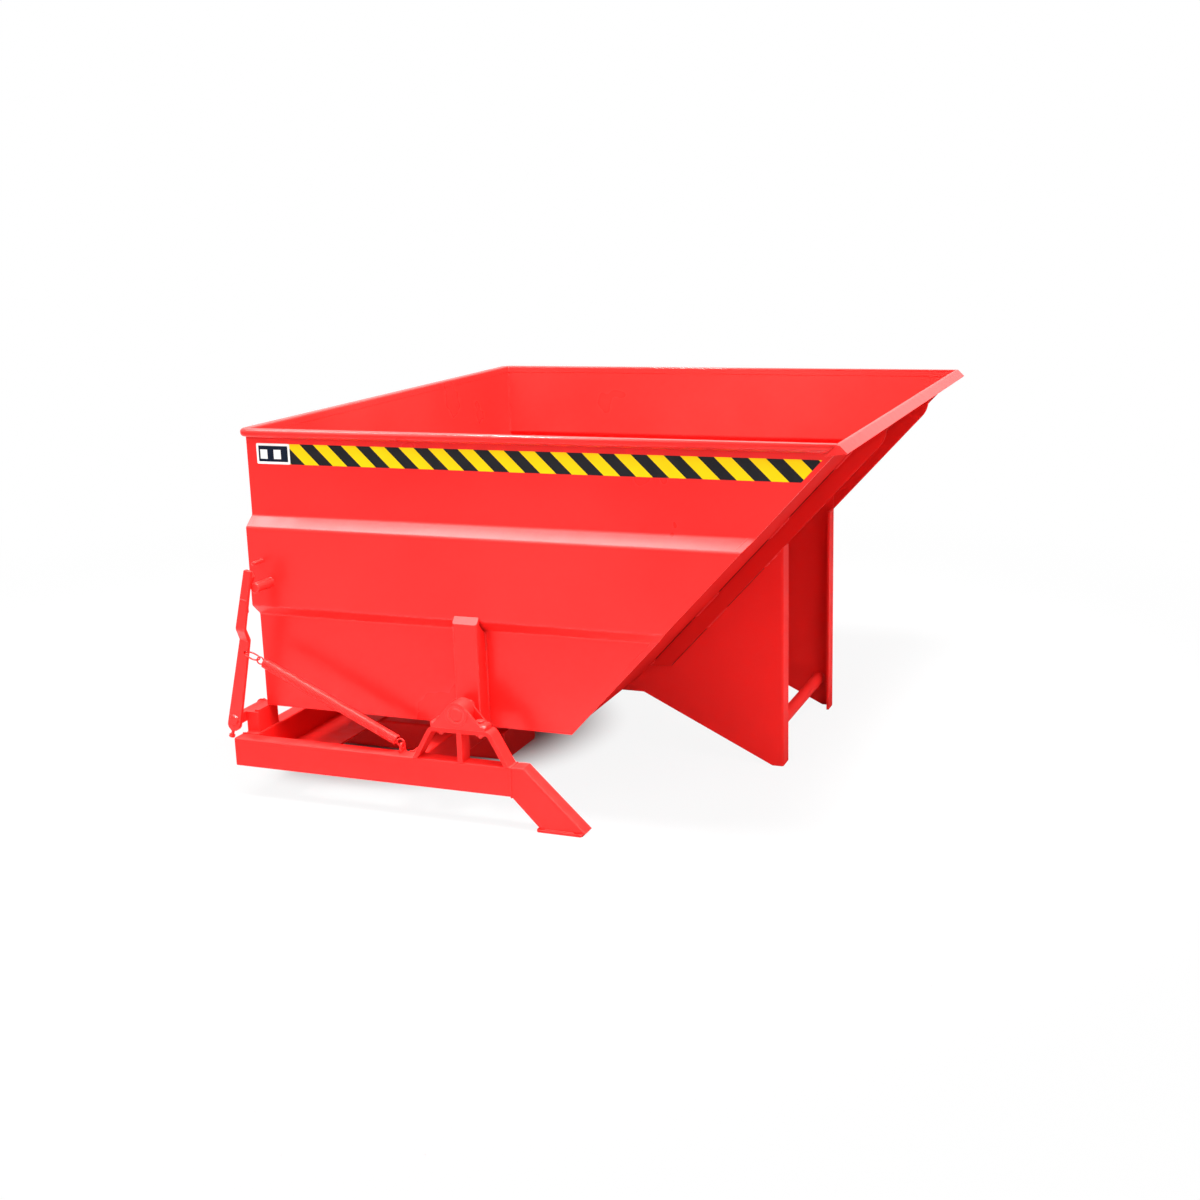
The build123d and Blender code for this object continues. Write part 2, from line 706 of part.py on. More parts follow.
# Hook plate on the inner face of the lever, its nose drawn back clear of the rising catch pin
hook_out = lever_y + lever_offset - lever_thick / 2
catch_from_pivot = Vector(catch_reach - pivot_reach, 0, catch_z - pivot_z)
rise = Vector(catch_from_pivot.Z, 0, -catch_from_pivot.X).normalized()
clear = catch_d / 2 + hook_gap
clear_x = rim_x + catch_reach - rise.Z * clear
clear_z = catch_z + rise.X * clear
with BuildPart() as latch_hook:
    with BuildSketch(Plane.XZ.offset(hook_out - hook_thick)):
        with BuildLine():
            Polyline(
                on_lever(hook_span[0], -lever_tip_width / 2),
                on_lever(hook_span[0], lever_tip_width / 3),
                on_lever(hook_span[1], -lever_tip_width / 4),
                (clear_x, clear_z),
                (clear_x + rise.X * hook_nose, clear_z + rise.Z * hook_nose),
                on_lever(hook_span[2], lever_tip_width / 4),
                on_lever(hook_span[2], -lever_tip_width / 2),
                close=True,
            )
        make_face()
    extrude(amount=hook_thick)
save(latch_hook, "latch_hook")

# Spring line from the lever hole to the eye on the rail
link_x, link_z = on_lever(*link_hole)
eye_x = rim_x + eye_reach
eye_z = rail_top + eye_rim + eye_r
hang_z = eye_z + eye_r
pull = Vector(eye_x - link_x, 0, hang_z - link_z)
axis = pull.normalized()
spring_line = Plane(origin=(link_x, -lever_y, link_z), x_dir=(0, 1, 0), z_dir=axis)

with BuildPart() as spring_eye:
    with BuildSketch(Plane.YZ.offset(eye_x)):
        with Locations((-lever_y, eye_z)):
            Circle(eye_r + eye_rim / 2)
        with Locations((-lever_y, rail_top + eye_rim / 2)):
            Rectangle(2 * eye_r + 2 * eye_rim, eye_rim)
        make_hull()
        with Locations((-lever_y, eye_z)):
            Circle(eye_r - eye_rim / 2, mode=Mode.SUBTRACT)
    extrude(amount=eye_thick / 2, both=True)
save(spring_eye, "spring_eye")

# Wire link: a long loop through the lever hole and the first spring ring
link_plane = Plane(origin=(link_x, -lever_y, link_z), x_dir=axis, z_dir=axis.cross(Vector(0, 1, 0)))
link_bends = [(link_r, 0), (link_length - link_r, 0)]
with BuildPart() as spring_link:
    with BuildSketch(link_plane):
        with Locations(*link_bends):
            RegularPolygon(link_r + link_wire / 2, wire_sides)
        make_hull()
    extrude(amount=link_wire / 2, both=True)
    with BuildSketch(link_plane):
        with Locations(*link_bends):
            RegularPolygon(link_r - link_wire / 2, wire_sides)
        make_hull()
    extrude(amount=link_wire / 2, both=True, mode=Mode.SUBTRACT)
    across_wire = Axis((0, 0, 0), link_plane.z_dir)
    chamfer(spring_link.edges().filter_by(across_wire, reverse=True), length=link_wire / 4)
save(spring_link, "spring_link")

# Tension spring: close-wound barrel with a ring at each end, turned in from the last coil
ring_slack = ring_r - (spring_wire + link_wire) / 2 - 0.5
first_ring = link_length + ring_slack
last_ring = pull.length - (ring_r - (spring_wire + eye_rim) / 2 - 1)
barrel_start = first_ring + ring_r - spring_wire / 2
barrel_end = last_ring - ring_r + spring_wire / 2
coil_r = (spring_d - spring_wire) / 2
with BuildPart() as end_ring:
    with BuildSketch(Plane(origin=(0, 0, 0), x_dir=axis, z_dir=(0, -1, 0))):
        RegularPolygon(ring_r + spring_wire / 2, wire_sides)
        RegularPolygon(ring_r - spring_wire / 2, wire_sides, mode=Mode.SUBTRACT)
    extrude(amount=spring_wire / 2, both=True)
    chamfer(end_ring.edges().filter_by(Axis.Y, reverse=True), length=spring_wire / 4)

with BuildPart() as tension_spring:
    with BuildSketch(spring_line.offset(barrel_start)):
        Circle(spring_d / 2)
        Circle(spring_d / 2 - spring_wire, mode=Mode.SUBTRACT)
    extrude(amount=barrel_end - barrel_start)
    for along, root in ((first_ring, first_ring + ring_r), (last_ring, last_ring - ring_r)):
        with Locations(spring_line.from_local_coords((0, 0, along))):
            add(end_ring.part)
        with BuildSketch(Plane(origin=spring_line.from_local_coords((0, 0, root)), z_dir=(0, -1, 0))):
            RegularPolygon(spring_wire / 2, 6)
        extrude(amount=coil_r)
save(tension_spring, "tension_spring")
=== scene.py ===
# Looks of the tipping hopper: enamel, welds, hazard tape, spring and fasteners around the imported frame.
# Metres, in the frame's own axes: +X to the pouring lip, +Z up, the latch on the -Y side.

import json
from math import atan2, cos, pi, radians, sin, tan

import bmesh
import bpy
from bpy.props import FloatProperty, FloatVectorProperty, PointerProperty
from bpy.types import Operator, Panel, PropertyGroup
from mathutils import Matrix, Vector


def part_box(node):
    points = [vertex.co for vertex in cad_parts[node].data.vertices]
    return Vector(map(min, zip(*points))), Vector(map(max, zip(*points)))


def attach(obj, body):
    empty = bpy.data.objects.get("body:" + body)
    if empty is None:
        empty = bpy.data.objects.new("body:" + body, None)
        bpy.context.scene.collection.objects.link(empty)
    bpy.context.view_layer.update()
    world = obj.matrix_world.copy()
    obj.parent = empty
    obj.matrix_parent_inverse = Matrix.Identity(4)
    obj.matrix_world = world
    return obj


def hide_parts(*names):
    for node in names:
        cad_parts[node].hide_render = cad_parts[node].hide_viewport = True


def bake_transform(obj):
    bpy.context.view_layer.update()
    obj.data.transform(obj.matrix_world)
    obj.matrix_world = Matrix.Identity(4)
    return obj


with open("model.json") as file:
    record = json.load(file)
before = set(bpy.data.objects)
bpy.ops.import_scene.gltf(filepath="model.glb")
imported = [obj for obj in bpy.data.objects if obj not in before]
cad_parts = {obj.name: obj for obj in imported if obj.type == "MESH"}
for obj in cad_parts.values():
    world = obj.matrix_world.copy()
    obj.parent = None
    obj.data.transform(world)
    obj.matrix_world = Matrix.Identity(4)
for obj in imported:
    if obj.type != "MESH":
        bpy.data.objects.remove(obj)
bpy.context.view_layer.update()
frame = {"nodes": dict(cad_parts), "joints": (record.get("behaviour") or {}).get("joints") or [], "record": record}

bl_info = {
    "name": "Tipping hopper",
    "version": (1, 0, 0),
    "blender": (4, 5, 0),
    "location": "3D View > Sidebar > Hopper",
    "description": "Paint, welds, tape, spring and fasteners of a fork-carried tipping hopper",
    "category": "Object",
}

# Places read from the frame
nodes = frame["nodes"]
bodies = frame["record"]["behaviour"]["bodies"]
joints = {joint["name"]: Vector(joint["pos_m"]) for joint in frame["joints"]}
pivot = joints["hopper_tip"]
shaft = joints["latch_pull"]
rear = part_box("rim_tube_rear")[0].x
rim_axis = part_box("rear_wall")[1].z
rim_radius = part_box("rim_tube_rear")[1].z - rim_axis
wall_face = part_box("pivot_pin_left")[0].y
swage_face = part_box("side_wall_left")[1].y
wall_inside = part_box("side_wall_left")[0].y
sheet = wall_face - wall_inside
wall_middle = wall_face - sheet / 2
floor_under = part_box("floor_plate")[0].z
floor_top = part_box("floor_plate")[1].z
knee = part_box("floor_plate")[1].x
rear_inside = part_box("rear_wall")[1].x
chute_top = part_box("chute_plate")[1]
chute_slope = atan2(chute_top.z - floor_under, chute_top.x - knee)
chute_length = (chute_top - Vector((knee, chute_top.y, floor_under))).length
rail_low, rail_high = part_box("rail_left")
rail_middle = (rail_low.y + rail_high.y) / 2

# Folds of the side walls from the lowest up, and the latch lever's lean at rest
swage_heights = (0.433, 0.460, 0.652, 0.677)
lever_lean = radians(13)

# Paint slot and enamel of the welds on each body
weld_coats = {
    "hopper": ("hopper_paint", "skip_enamel"),
    "base_frame": ("frame_paint", "frame_enamel"),
    "latch_lever": ("frame_paint", "latch_enamel"),
}


def number(name, description, default, **more):
    """A number that a user can change, with its unit, subtype or limits."""
    return FloatProperty(name=name, description=description, default=default, **more)


def metres(name, description, default, **limits):
    """A length that a user can change."""
    return number(name, description, default, unit="LENGTH", **limits)


def tint(name, description, rgb):
    """A colour that a user can change."""
    return FloatVectorProperty(
        name=name, description=description, default=(*rgb, 1.0), subtype="COLOR", size=4, min=0.0, max=1.0)


class HopperSizes(PropertyGroup):
    """Sizes of the pieces that are added to the frame."""
    edge_round: metres("Edge rounding", "Radius to which sheared edges look dressed", 0.0016, min=0.0)
    rim_height: metres("Rim height", "Height of the folded rim", 0.019)
    rim_outside: metres("Rim outside", "Middle of the wall to the rim's outer face", 0.024)
    rim_inside: metres("Rim inside", "Middle of the wall to the rim's inner face", 0.0025)
    rim_bend: metres("Rim bend", "Radius of the rim's turn at the rear", 0.010)
    tape_start: metres("Tape start", "Rear rim to the tape's rear end", 0.128)
    tape_height: metres("Tape height", "Width of the hazard tape", 0.048)
    tape_gap: metres("Tape gap", "Folded rim to the tape's upper edge", 0.0165)
    tape_first: metres("First stripe", "Rear rim to the first yellow stripe, at the upper edge", 0.1174)
    tape_pitch: metres("Stripe pitch", "One yellow and one black stripe, along the tape", 0.07505)
    tape_lean: number("Stripe lean", "Run of a stripe for each unit of height", 1.04)
    tape_share: number(
        "Yellow share", "Part of the pitch that is yellow", 0.51, min=0.0, max=1.0, subtype="FACTOR")
    plate_start: metres("Plate start", "Rear rim to the blank plate", 0.037)
    plate_width: metres("Plate width", "Blank plate, along the wall", 0.091)
    plate_border: metres("Plate border", "Width of the pale border", 0.0055)
    bead_radius: metres("Weld bead", "Half the width of a fillet weld", 0.0032)
    bead_ripple: metres("Weld ripple", "Spacing of the scales along a weld", 0.0055)
    spring_width: metres("Spring width", "Outer diameter of the tension spring", 0.025)
    spring_wire: metres("Spring wire", "Wire diameter of the tension spring", 0.0035)
    spring_ring: metres("Spring ring", "Middle radius of the rings at its ends", 0.009)
    link_wire: metres("Link wire", "Wire diameter of the link to the lever", 0.004)
    link_straight: metres("Link straight", "Straight length between the link's bends", 0.008)
    bolt_spacing: metres("Bolt spacing", "Between the two bolts of a bearing housing", 0.100)
    bolt_width: metres("Bolt width", "Across the flats of the housing bolts", 0.019)
    bolt_shank: metres("Bolt shank", "Diameter of the housing bolts", 0.012)
    nut_width: metres("Shaft nut", "Across the flats of the latch shaft's nut", 0.027)


class HopperColours(PropertyGroup):
    """Colours of the finishes."""
    enamel: tint("Enamel", "Red of the hopper and frame", (0.86, 0.018, 0.0155))
    enamel_deep: tint("Thick enamel", "Red where the coat lies thicker", (0.81, 0.014, 0.012))
    # Paler red for edges: partly the thinner coat there, partly a painted highlight along the edges.
    thin_enamel_and_highlight: tint("Thin enamel", "Red on edges, where the coat runs thin", (0.95, 0.09, 0.08))
    # Pale pink for faces that look up: partly a fine dusting, partly a painted sheen of the light from above.
    dust_and_sheen: tint("Dust", "Fine dust on surfaces that face up", (0.86, 0.42, 0.38))
    # Near-black red for the open seams: painted shadow in the gaps between welds.
    seam_shade: tint("Open seam", "Dark gap along the ribs between two welds", (0.055, 0.002, 0.002))
    tape_yellow: tint("Tape yellow", "Bright stripes of the tape", (0.98, 0.64, 0.003))
    tape_black: tint("Tape black", "Dark stripes of the tape", (0.008, 0.008, 0.010))
    plate_navy: tint("Plate navy", "Field of the blank plate", (0.002, 0.006, 0.020))
    plate_white: tint("Plate white", "Border of the blank plate", (0.86, 0.85, 0.84))
    bronze: tint("Bronze", "Bearing bushes", (0.62, 0.42, 0.20))
    floor: tint("Floor", "Studio floor", (0.45, 0.45, 0.45))


class HopperStage(PropertyGroup):
    """Camera and light."""
    camera_place: FloatVectorProperty(
        name="Camera", description="Camera from the rear rim on the mid plane at ground level",
        subtype="TRANSLATION", size=3, default=(2.16594, -3.91381, 1.36068))
    camera_turn: number("Turn", "Camera's turn to the right of square", 0.38329, subtype="ANGLE")
    camera_tilt: number("Tilt", "Camera's downward tilt", 0.24129, subtype="ANGLE")
    camera_roll: number("Roll", "Camera's roll about its own axis", -0.02957, subtype="ANGLE")
    camera_lens: number("Lens", "Focal length on a 36 mm sensor, in millimetres", 47.647)
    camera_shift: FloatVectorProperty(
        name="Shift", description="Shift of the picture's middle", size=2, default=(0.0053, 0.0012))
    key_power: number("Key light", "Power of the front lamp", 98.0, unit="POWER")
    top_power: number("Top light", "Power of the lamp overhead", 370.0, unit="POWER")
    side_power: number("Side light", "Power of the lamp on the lip's side", 130.0, unit="POWER")
    inner_power: number("Inner light", "Power of the lamp over the open top", 88.0, unit="POWER")
    room_light: number("Room light", "Strength of the room's even light", 0.52)
    floor_glow: number(
        "Floor white", "How far the floor is lifted to white in the picture", 0.91,
        min=0.0, max=1.0, subtype="FACTOR")


class Tone:
    """One output socket of a finish. Arithmetic on it adds Math nodes to the same finish."""

    def __init__(self, tree, socket=None):
        self.tree = tree
        self.socket = socket

    def node(self, kind, inputs=None, output=0, **settings):
        """Add a node: first its settings, then the values or links of its sockets."""
        made = self.tree.nodes.new("ShaderNode" + kind)
        for key, value in settings.items():
            setattr(made, key, value)
        for key, value in (inputs or {}).items():
            if isinstance(value, Tone):
                self.tree.links.new(value.socket, made.inputs[key])
            else:
                made.inputs[key].default_value = value
        return Tone(self.tree, made.outputs[output] if len(made.outputs) else None)

    def math(self, operation, *values):
        return self.node("Math", dict(enumerate(values)), operation=operation)

    def __add__(self, other):
        return self.math("ADD", self, other)

    def __radd__(self, other):
        return self.math("ADD", other, self)

    def __sub__(self, other):
        return self.math("SUBTRACT", self, other)

    def __rsub__(self, other):
        return self.math("SUBTRACT", other, self)

    def __mul__(self, other):
        return self.math("MULTIPLY", self, other)

    def __truediv__(self, other):
        return self.math("DIVIDE", self, other)

    def __lt__(self, other):
        return self.math("LESS_THAN", self, other)

    def rise(self, low, high):
        """0 below low, 1 above high, with a soft step between them."""
        inputs = {"Value": self, "From Min": low, "From Max": high}
        return self.node("MapRange", inputs, interpolation_type="SMOOTHSTEP")

    def between(self, first, second):
        """Colour that goes from first to second as this value goes from 0 to 1."""
        return self.node("Mix", {0: self, 6: first, 7: second}, 2, data_type="RGBA")

    def part(self, axis):
        """One coordinate of this place or direction."""
        return self.node("SeparateXYZ", {0: self}, axis)

    def vector(self, operation, other=None, output="Vector"):
        """Vector maths on this place or direction, and another where the operation takes two."""
        inputs = {0: self} if other is None else {0: self, 1: other}
        return self.node("VectorMath", inputs, output, operation=operation)


def new_finish(name):
    """An empty material, the start of its nodes, and the place on the piece."""
    material = bpy.data.materials.new(name)
    material.use_nodes = True
    material.node_tree.nodes.clear()
    tone = Tone(material.node_tree)
    return material, tone, tone.node("TexCoord", output="Object")


def close_finish(material, tone, sockets):
    """End a finish in a Principled shader with these sockets."""
    shader = tone.node("BsdfPrincipled", sockets)
    tone.node("OutputMaterial", {"Surface": shader})
    return material


def noise(tone, place, scale, detail):
    """Even noise from 0 to 1, with its spacing given as repeats in a metre."""
    return tone.node("TexNoise", {"Vector": place, "Scale": scale, "Detail": detail})


def red_enamel(name, peel=0.00005, cast=0.0, dull=0.0, shade=0.0):
    """Sprayed red enamel with orange peel: cast adds sand texture, dull takes off gloss, shade darkens the colour
    as painted shade. Edges get a paler red, partly thin coat and partly painted highlight; faces that look up get
    a pale pink, partly a fine dusting and partly painted sheen.
    """
    colours = bpy.context.scene.hopper_colours
    edge_round = bpy.context.scene.hopper_sizes.edge_round
    # shade scales both reds down: painted shade.
    thick, even = [tuple(Vector(red) * (1 - shade)) for red in (colours.enamel_deep, colours.enamel)]
    material, tone, place = new_finish(name)
    up = tone.node("TexCoord", output="Normal").part("Z")
    soft = tone.node("Bevel", {"Radius": edge_round}, samples=4)
    hard = tone.node("NewGeometry", output="Normal")
    turn = soft.vector("DOT_PRODUCT", hard, "Value")
    cloud = noise(tone, place, 2.4, 4.0)
    patch = noise(tone, place, 38.0, 3.0)
    skin = noise(tone, place, 420.0, 1.0)
    sand = noise(tone, place, 900.0, 3.0)
    sand_height, sand_rough = cast * 9000, cast * 500
    # Paler red on edges, in patches: partly thin coat, partly a painted edge highlight.
    edge = (1 - turn).rise(0.01, 0.16) * patch.rise(0.30, 0.62)
    # Faces that look up take a little pale pink: partly a fine dusting, partly painted sheen.
    dust_and_sheen = up.rise(0.55, 0.98) * patch.rise(0.35, 0.75)
    colour = cloud.rise(0.36, 0.64).between(thick, even)
    colour = (edge * 0.75).between(colour, colours.thin_enamel_and_highlight)
    colour = (dust_and_sheen * 0.035).between(colour, colours.dust_and_sheen)
    relief = tone.node("Bump", {
        "Strength": 0.6, "Distance": peel + cast, "Height": skin + sand * sand_height, "Normal": soft})
    return close_finish(material, tone, {
        "Base Color": colour, "Roughness": 0.24 + dull + cloud * 0.10 + dust_and_sheen * 0.16 + sand_rough,
        "Normal": relief, "IOR": 1.38 - dull * 0.6})


def hazard_stripes(name):
    """Yellow and black tape: leaning stripes under a skin of fine glass beads."""
    sizes = bpy.context.scene.hopper_sizes
    colours = bpy.context.scene.hopper_colours
    worn_yellow, worn_black = (0.93, 0.58, 0.002, 1.0), (0.018, 0.018, 0.021, 1.0)
    whole_pitches = 64.0
    material, tone, place = new_finish(name)
    lean = (place.part("Z") - tape_top(sizes)) * sizes.tape_lean
    shifted = place.part("X") - (rear + sizes.tape_first) + lean
    stripe = tone.math("FRACT", shifted / sizes.tape_pitch + whole_pitches)
    bead = tone.node("TexVoronoi", {"Vector": place, "Scale": 700.0}, "Distance")
    cloud = noise(tone, place, 26.0, 3.0)
    yellow = cloud.between(colours.tape_yellow, worn_yellow)
    black = cloud.between(colours.tape_black, worn_black)
    relief = tone.node("Bump", {"Strength": 0.25, "Distance": 0.0001, "Height": bead})
    return close_finish(material, tone, {
        "Base Color": (stripe < sizes.tape_share).between(black, yellow), "Roughness": 0.34 + cloud * 0.14,
        "Normal": relief, "IOR": 1.22})


def plate_lacquer(name, colour):
    """Lacquer of the blank plate, faintly brushed along the wall."""
    material, tone, place = new_finish(name)
    stretch = tone.node("Mapping", {"Vector": place, "Scale": (6.0, 1.0, 240.0)})
    brush = noise(tone, stretch, 9.0, 3.0)
    cloud = noise(tone, place, 60.0, 2.0)
    pale = [min(1.0, channel * 1.5 + 0.004) for channel in colour[:3]] + [1.0]
    return close_finish(material, tone, {
        "Base Color": (brush * 0.5).between(tuple(colour), tuple(pale)), "Roughness": 0.24 + cloud * 0.2,
        "IOR": 1.25})


def painted_seam_shadow(name):
    """Painted shadow for the open seams between welds: dark, with specks of enamel."""
    colours = bpy.context.scene.hopper_colours
    material, tone, place = new_finish(name)
    speck = noise(tone, place, 160.0, 3.0)
    return close_finish(material, tone, {
        "Base Color": speck.rise(0.55, 0.75).between(colours.seam_shade, colours.enamel_deep),
        "Roughness": 0.7 + speck * 0.2, "IOR": 1.2})


def turned_bronze(name):
    """Turned bronze with tool rings about the pivot, its end faces painted over with the housing."""
    colours = bpy.context.scene.hopper_colours
    tarnish = (0.30, 0.17, 0.07, 1.0)
    material, tone, place = new_finish(name)
    across_pivot = place.vector("SUBTRACT", tuple(pivot)).vector("MULTIPLY", (1, 0, 1))
    ring = tone.math("SINE", across_pivot.vector("LENGTH", output="Value") * 9000.0)
    stain = noise(tone, place, 90.0, 4.0)
    relief = tone.node("Bump", {"Strength": 0.3, "Distance": 0.0001, "Height": ring})
    end_on = tone.math("ABSOLUTE", tone.node("TexCoord", output="Normal").part("Y"))
    paint = end_on.rise(0.5, 0.8)
    metal = stain.rise(0.45, 0.75).between(colours.bronze, tarnish)
    return close_finish(material, tone, {
        "Base Color": paint.between(metal, colours.enamel), "Metallic": 1 - paint,
        "Roughness": 0.30 + stain * 0.25, "Normal": relief})


def paint_nodes(material, body, start=""):
    """Give the CAD nodes of a body, or those whose names start so, a finish through their material slots."""
    for name in bodies[body]:
        if name.startswith(start):
            slots = nodes[name].data.materials
            slots.clear()
            slots.append(material)


def new_object(name, data):
    """Put an object with this data into the scene."""
    made = bpy.data.objects.new(name, data)
    bpy.context.scene.collection.objects.link(made)
    return made


def new_piece(name, mesh, body, materials):
    """Put a mesh into the scene as a piece that moves with a body, or with none where no body is given."""
    piece = new_object(name, mesh)
    for material in materials:
        mesh.materials.append(material)
    if body:
        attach(piece, body)
    return piece


def shape_piece(name, shape, body, materials):
    """Turn a bmesh into a piece that moves with a body."""
    bmesh.ops.recalc_face_normals(shape, faces=shape.faces)
    mesh = bpy.data.meshes.new(name)
    shape.to_mesh(mesh)
    shape.free()
    return new_piece(name, mesh, body, materials)


def at(x, y, z):
    """Point given from the rear rim, the mid plane and the ground."""
    return Vector((rear + x, y, z))


def tape_top(sizes):
    """Height of the tape's upper edge."""
    return rim_axis + rim_radius - sizes.rim_height - sizes.tape_gap


def wall_line(height):
    """Inner face of a side wall at a height, from the mid plane."""
    low, out, back, high = swage_heights
    gone_out = min(max((height - low) / (out - low), 0.0), 1.0)
    come_back = min(max((height - back) / (high - back), 0.0), 1.0)
    return wall_inside + (swage_face - wall_face) * (gone_out - come_back)


def on_chute(along, out, y):
    """Point at a distance up the chute from the knee and below its underside."""
    return Vector((knee + along * cos(chute_slope) + out * sin(chute_slope), y,
                   floor_under + along * sin(chute_slope) - out * cos(chute_slope)))


def chute_x(height, out):
    """Where a plane at a distance below the chute's underside reaches a height."""
    return on_chute((height - floor_under + out * cos(chute_slope)) / sin(chute_slope), out, 0.0).x


def on_lever(along, aside, y):
    """Point on the latch lever, measured from its shaft."""
    return Vector((shaft.x + along * sin(lever_lean) + aside * cos(lever_lean), y,
                   shaft.z + along * cos(lever_lean) - aside * sin(lever_lean)))


def both_sides(runs):
    """Lines of points given for the left half, first on the right side and then on the left."""
    return [[Vector((x, side * y, z)) for x, y, z in run] for side in (-1, 1) for run in runs]


def ring_line(centre, first, second, radius, steps=28, start=0.0, end=2 * pi):
    """Points of a circle or an arc about a centre, in the plane of two directions."""
    turns = [start + (end - start) * step / steps for step in range(steps + 1)]
    return [centre + first * (radius * cos(turn)) + second * (radius * sin(turn)) for turn in turns]


def round_rods(name, runs, radius, resolution=1):
    """Mesh of round rods along runs of points, each point with the rod's swelling there."""
    curve = bpy.data.curves.new(name, "CURVE")
    curve.dimensions = "3D"
    curve.bevel_depth = radius
    curve.bevel_resolution = resolution
    curve.use_fill_caps = True
    for run in runs:
        spline = curve.splines.new("POLY")
        spline.points.add(len(run) - 1)
        for point, (place, swell) in zip(spline.points, run):
            point.co = (*place, 1.0)
            point.radius = swell
    holder = new_object(name, curve)
    bpy.context.view_layer.update()
    mesh = bpy.data.meshes.new_from_object(holder)
    bpy.data.objects.remove(holder)
    bpy.data.curves.remove(curve)
    mesh.name = name
    mesh.materials.clear()
    mesh.shade_smooth()
    return mesh


def even_run(points):
    """A rod of one thickness along a line of points."""
    return [(point, 1.0) for point in points]


def weld_run(points):
    """A weld along a line of points, swelling with each puddle and thin at both ends."""
    ripple = bpy.context.scene.hopper_sizes.bead_ripple
    depth, end_swell = 0.14, 0.6
    run = []
    gone = 0.0
    for start, end in zip(points, points[1:]):
        length = (end - start).length
        count = max(2, round(length / ripple * 2))
        for step in range(count):
            share = step / count
            swell = 1 - depth + depth * cos(2 * pi * (gone + share * length) / ripple)
            run.append((start.lerp(end, share), swell))
        gone += length
    run.append((points[-1], end_swell))
    run[0] = (points[0], end_swell)
    return run


def weld_piece(name, lines, body, width=1.0):
    """One piece of like welds on a body, in its enamel."""
    radius = bpy.context.scene.hopper_sizes.bead_radius * width
    mesh = round_rods(name, [weld_run(line) for line in lines], radius)
    slot, enamel = weld_coats[body]
    new_piece(name, mesh, body, [bpy.data.materials[enamel]])


def bridge(shape, first, second):
    """Faces between two outlines with as many points each."""
    made = []
    for step in range(len(first)):
        after = (step + 1) % len(first)
        made.append(shape.faces.new((first[step], first[after], second[after], second[step])))
    return made


def close_between(shape, first, second):
    """Make a solid of two outlines that face each other."""
    shape.faces.new(first)
    shape.faces.new(second)
    bridge(shape, first, second)


def turned_solid(shape, place, profile, flats, steps=48):
    """Add a turned solid to a bmesh from (height, radius, hexagonal) steps about the place's own Z axis."""
    rings = []
    for height, radius, hexagonal in profile:
        ring = []
        for step in range(steps):
            turn = 2 * pi * step / steps
            reach = radius
            if hexagonal:
                off = (turn + pi / 6) % (pi / 3) - pi / 6
                reach = min(radius, flats / 2 / cos(off))
            ring.append(shape.verts.new(place @ Vector((reach * cos(turn), reach * sin(turn), height))))
        rings.append(ring)
    for low, high in zip(rings, rings[1:]):
        bridge(shape, low, high)
    shape.faces.new(list(reversed(rings[0])))
    shape.faces.new(rings[-1])


def thread_steps(start, end, radius, pitch=0.00175, root=0.90):
    """Profile steps of a screw thread, as grooves round the shank."""
    steps = []
    height = start
    while height + pitch < end:
        steps.append((height, radius * root, False))
        steps.append((height + pitch / 2, radius, False))
        height += pitch
    return steps


def hexagon_steps(base, height, width):
    """Profile steps of a washer and a chamfered hexagon on it."""
    washer = 0.0018
    corner = width / 2 * 1.155
    return [
        (base, width * 0.62, False),
        (base + washer * 0.8, width * 0.62, False),
        (base + washer, width * 0.60, False),
        (base + washer, corner, True),
        (base + height * 0.84, corner, True),
        (base + height * 0.93, width / 2 * 1.03, True),
        (base + height, width / 2 * 0.93, False),
    ]


class HOPPER_OT_paint_skip(Operator):
    """Paint the tipping body: walls, chute, legs and pivots"""
    bl_idname = "hopper.paint_skip"
    bl_label = "Paint the skip"

    def execute(self, context):
        paint_nodes(red_enamel("skip_enamel"), "hopper")
        paint_nodes(red_enamel("leg_enamel", peel=0.00006, dull=0.32), "hopper", "leg_")
        # The chute and its ribs take a darker, duller copy of the enamel: painted shade of the underside.
        paint_nodes(red_enamel("chute_enamel_painted_shade", peel=0.00006, dull=0.5, shade=0.14), "hopper", "chute_")
        return {"FINISHED"}


class HOPPER_OT_paint_frame(Operator):
    """Paint the base frame and its cast bearing housings"""
    bl_idname = "hopper.paint_frame"
    bl_label = "Paint the base frame"

    def execute(self, context):
        paint_nodes(red_enamel("frame_enamel", peel=0.00007, dull=0.2), "base_frame")
        paint_nodes(red_enamel("casting_enamel", peel=0.00006, cast=0.0001), "base_frame", "bearing_housing")
        return {"FINISHED"}


class HOPPER_OT_paint_latch(Operator):
    """Paint the latch lever, its hook, shaft and stop screw"""
    bl_idname = "hopper.paint_latch"
    bl_label = "Paint the latch"

    def execute(self, context):
        paint_nodes(red_enamel("latch_enamel", peel=0.00007), "latch_lever")
        return {"FINISHED"}


class HOPPER_OT_finish_bushes(Operator):
    """Finish the bronze bushes of the bearings"""
    bl_idname = "hopper.finish_bushes"
    bl_label = "Finish the bushes"

    def execute(self, context):
        paint_nodes(turned_bronze("turned_bronze"), "base_frame", "bearing_bush")
        return {"FINISHED"}


